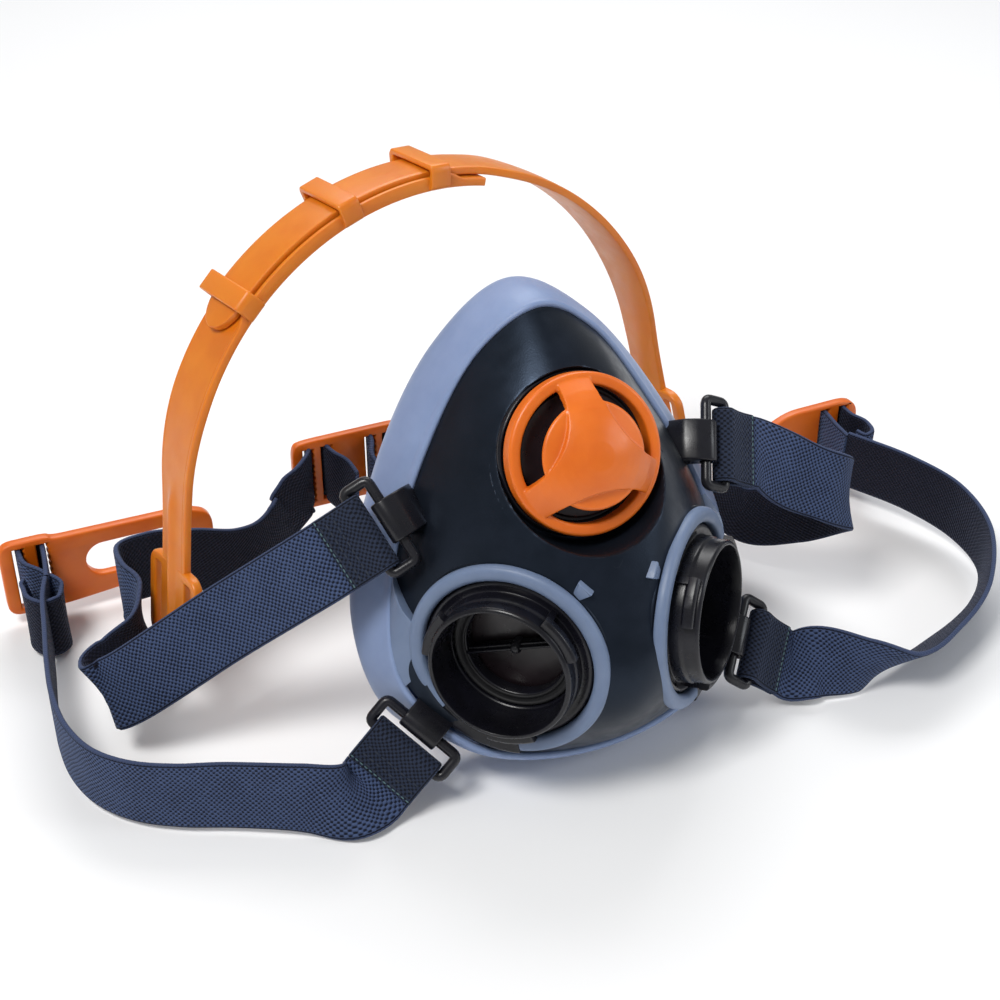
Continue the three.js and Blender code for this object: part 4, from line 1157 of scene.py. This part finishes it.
def crown_bands():
    first, last = CROWN_FEET
    turns = np.arange(LEFT_END, last + 0.1, 1.0)
    left = crown_loft("crown_band_inner", turns, inner_section, 0.0)
    combine(left, paddle(last - 4, 0.0), *[keeper(turn) for turn in KEEPERS])
    finish_piece(left, ROOT, CROWN_ORANGE, "crown_band_left", crease=34)
    turns = np.append(np.arange(first, TONGUE_END - 7, 1.0), np.linspace(TONGUE_END - 7, TONGUE_END, 22))
    right = crown_loft("crown_band_outer", turns, outer_section, CROWN_LAYER)
    combine(right, paddle(first + 4, CROWN_LAYER))
    finish_piece(right, "crown_band_right", CROWN_ORANGE, "crown_band_right", crease=34)


# ---------- flat harness plates: X right, Y down, Z backwards ----------
def toothed_slot(x, height=20.5, width=3.4, teeth=9):
    """A strap slot with small teeth along one side."""
    y = np.linspace(-height / 2, height / 2, 2 * teeth + 1)
    biting = [(x + width / 2 - (0.55 if k % 2 else 0.0), v) for k, v in enumerate(y)]
    return np.array(biting + [(x - width / 2, height / 2), (x - width / 2, -height / 2)])


def harness_plates():
    slots = [toothed_slot(x, 18.5) for x in REAR_SLOTS]
    outline = fillet([(-18, -11.2), (-14, -12), (14, -12), (18, -11.2), (18, 11.5), (-18, 11.5)], 4.5, 6)
    rear = plate("rear_plate_body", outline, slots, -REAR_HALF, REAR_HALF, 0.5, REAR_PLATE)
    finish_piece(rear, ROOT, CLASP_ORANGE, "rear_plate", crease=34)

    window = rounded_box(30, 11, 5.4, 8) + (8, -0.5)
    slots = [toothed_slot(x) for x in LOOP_SLOTS]
    outline = fillet([(-31, -12.4), (-17, -12.4), (-15.5, -11.2), (24, -10.6), (31, -7.5), (31, 6.5),
                      (24, 9.2), (6, 10.6), (-14, 12.4), (-31, 12.4)], 4.2, 6)
    t = CLASP_HALF
    loop = plate("neck_loop_body", outline, [window, *slots], -t, t, 0.6, NECK_LOOP)
    finish_piece(loop, "neck_clasp_loop", CLASP_ORANGE, "neck_clasp_loop", crease=34)

    outline = fillet([(-17.5, -6.5), (-7, -11.6), (14, -12), (18, -9), (18, 9), (14, 12), (-7, 11.6),
                      (-17.5, 6.5)], 4, 6)
    slots = [toothed_slot(x) for x in HOOK_SLOTS]
    hook = plate("neck_hook_body", outline, slots, -t, t, 0.6, NECK_HOOK)
    tongue = np.vstack([
        [(-12, t), (-23, t)], arc(t + 1, 270, 90, 10, (-23, 2 * t + 1))[1:-1],
        [(-23, 3 * t + 2), (-17, 3 * t + 2), (-17, 3 * t + 4.2), (-23, 3 * t + 4.4)],
        arc(2.4 * t + 1, 90, 270, 12, (-23, 2 * t + 1))[1:-1], [(-23, -t), (-12, -t)],
    ])
    combine(hook, plate("catch", tongue, [], -4.5, 4.5, 0.4, turned(NECK_HOOK, 90, "X")))
    finish_piece(hook, "neck_clasp_hook", CLASP_ORANGE, "neck_clasp_hook", crease=34)


def threaded(before, slots, half, after):
    """A run through one slot, round the bar behind and out through the other slot."""
    near, far = slots
    s = 1 if far > near else -1
    behind = half + STRAP_T / 2 + 0.2
    bar = [[near, 0, -half], [near, 0, half * 0.6], [near + 1.0 * s, 0, behind],
           [far - 1.0 * s, 0, behind], [far, 0, half * 0.6], [far, 0, -half]]
    return [p + [0, 1, 0] if len(p) == 3 else p for p in before + bar + after]


# Strap ends: their plate's frame, their body, a run of places in that frame, and the side that shows.
ENDS = {
    "strap_end_rear_left": (REAR_PLATE, ROOT, threaded(
        [[-26.5, 8.3, -11], [-23.2, 6.3, -8.5], [-19.6, 2.8, -6.9], [-16.3, 0.8, -5.4]],
        REAR_SLOTS[:2], REAR_HALF,
        [[-6.6, 0.4, -4], [-4.4, 1.2, -8], [-2.2, 2.2, -12.5, 0.12, 0.98, 0.1]]), 1),
    "strap_end_rear_right": (REAR_PLATE, ROOT, threaded(
        [[18.5, 0, 6.5], [21.4, 0, 3.5], [20.8, 0, -2.8], [16.5, 0, -5.2]], REAR_SLOTS[:1:-1], REAR_HALF,
        [[5.8, 0.4, -4], [4.4, 1.0, -8], [3.6, 1.8, -11.5, -0.1, 0.98, 0.1]]), -1),
    "strap_end_neck_left": (NECK_LOOP, "neck_clasp_loop", threaded(
        [[-20, 1.5, -12], [-19.2, 0.8, -7]], LOOP_SLOTS[::-1], CLASP_HALF,
        [[-25, 0.6, -5], [-21.6, 2.2, -9], [-17.6, 4.0, -13.5], [-18.2, 5.0, -18.5], [-23, 5.2, -19.8],
         [-26.6, 4.6, -16], [-26.2, 3.6, -10.5], [-24.6, 2.9, -8.4]]), -1),
    "strap_end_neck_right": (NECK_HOOK, "neck_clasp_hook", threaded(
        [[6, 1, -14], [5.8, 0.6, -8]], HOOK_SLOTS, CLASP_HALF,
        [[13.4, 0.4, -5], [15.6, 1.0, -9.5], [15.2, 1.6, -14], [12.2, 1.8, -15.2], [10.6, 1.6, -12]]), 1),
}


def strap_ends():
    for node, (matrix, body, run, outer) in ENDS.items():
        rows = ribbon_rows(run, step=0.7)
        strap = ribbon(node + "_skin", rows, matrix, outer=outer)
        webbing_piece(strap, body, node)


def straps():
    for side, run in (("left", UPPER_LEFT), ("right", UPPER_RIGHT)):
        rows, outer, name = strap_start("upper", side, run)
        strap_rest(rows, outer, name)
    for side, run, clasp in (("left", LOWER_LEFT, "loop"), ("right", LOWER_RIGHT, "hook")):
        rows, outer, name = strap_start("lower", side, run)
        count = len(rows[0])
        strap_rest(rows, outer, name, count - FOLLOW)
        last = ribbon(name + "_end", rows, OBJECT, count - FOLLOW - 1, None, outer=outer)
        webbing_piece(last, None)
        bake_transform(last)
    rows = ribbon_rows(UPPER_RIGHT_BACK)
    back = ribbon("strap_upper_right_back_skin", rows, OBJECT, outer=-1)
    webbing_piece(back, ROOT, "strap_upper_right_back")


# ---------- the whole respirator ----------
front_shell()
face_seal()
valve_seat()
exhale_flap()
exhale_cover()
for side in SIDES:
    inlet_boss(side)
    seal_tab(side)
    collar(side)
    pointer(side)
    connector(side)
    inlet_inside(side)
    for level in LEVELS:
        strap_anchor(level, side)
        buckle(level, side)
        sewn_loop(level, side)
crown_bands()
harness_plates()
strap_ends()
straps()


# ---------- stage ----------
CAMERA_AT = (-162.2, -320.5, 237.6)  # about the cover's middle
CAMERA_TO = (-21.7, 2.55, -9.0)
CAMERA_LENS = 64.3


def look(obj, at, to):
    obj.location = at
    obj.rotation_euler = (Vector(to) - Vector(at)).to_track_quat("-Z", "Y").to_euler()


def area_light(name, at, size, power, colour=(1, 1, 1)):
    """A soft lamp that shines on the exhale cover."""
    data = bpy.data.lights.new(name, "AREA")
    data.shape = "RECTANGLE"
    data.size, data.size_y = size
    data.energy = power
    data.color = colour
    light = bpy.data.objects.new(name, data)
    bpy.context.scene.collection.objects.link(light)
    look(light, at, CENTRE)


def stage():
    scene = bpy.context.scene
    bpy.ops.mesh.primitive_plane_add(size=6, location=(0, 0, -0.0003))
    floor = bpy.context.object
    floor.name = "floor"
    n = Nodes("pale_floor")
    tone = n.band(n.noise(3.0, 2.0), 0.3, 0.7, 0.0, 1.0)
    base = n.mix(tone, rgb(0.9, 0.9, 0.905), rgb(0.92, 0.92, 0.925))
    floor.data.materials.append(n.shader(Base_Color=base, Roughness=0.85, Specular_IOR_Level=0.1))
    world = bpy.data.worlds.new("studio")
    world.use_nodes = True
    background = world.node_tree.nodes["Background"]
    background.inputs["Color"].default_value = rgb(0.95, 0.97, 1.0)
    background.inputs["Strength"].default_value = 0.34
    scene.world = world
    area_light("key", (-0.45, -0.25, 0.85), (0.3, 0.25), 6.0, (1.0, 0.99, 0.97))
    area_light("fill", (0.75, -0.45, 0.45), (0.3, 0.4), 1.8, (0.92, 0.96, 1.0))
    area_light("back", (0.25, 0.6, 0.8), (0.8, 0.4), 5.0)
    data = bpy.data.cameras.new("camera")
    data.lens = CAMERA_LENS
    data.sensor_width = 36.0
    data.clip_start = 0.01
    camera = bpy.data.objects.new("camera", data)
    scene.collection.objects.link(camera)
    look(camera, OBJECT @ Vector(CAMERA_AT), OBJECT @ Vector(CAMERA_TO))
    scene.camera = camera
    scene.view_settings.view_transform = "Standard"


stage()
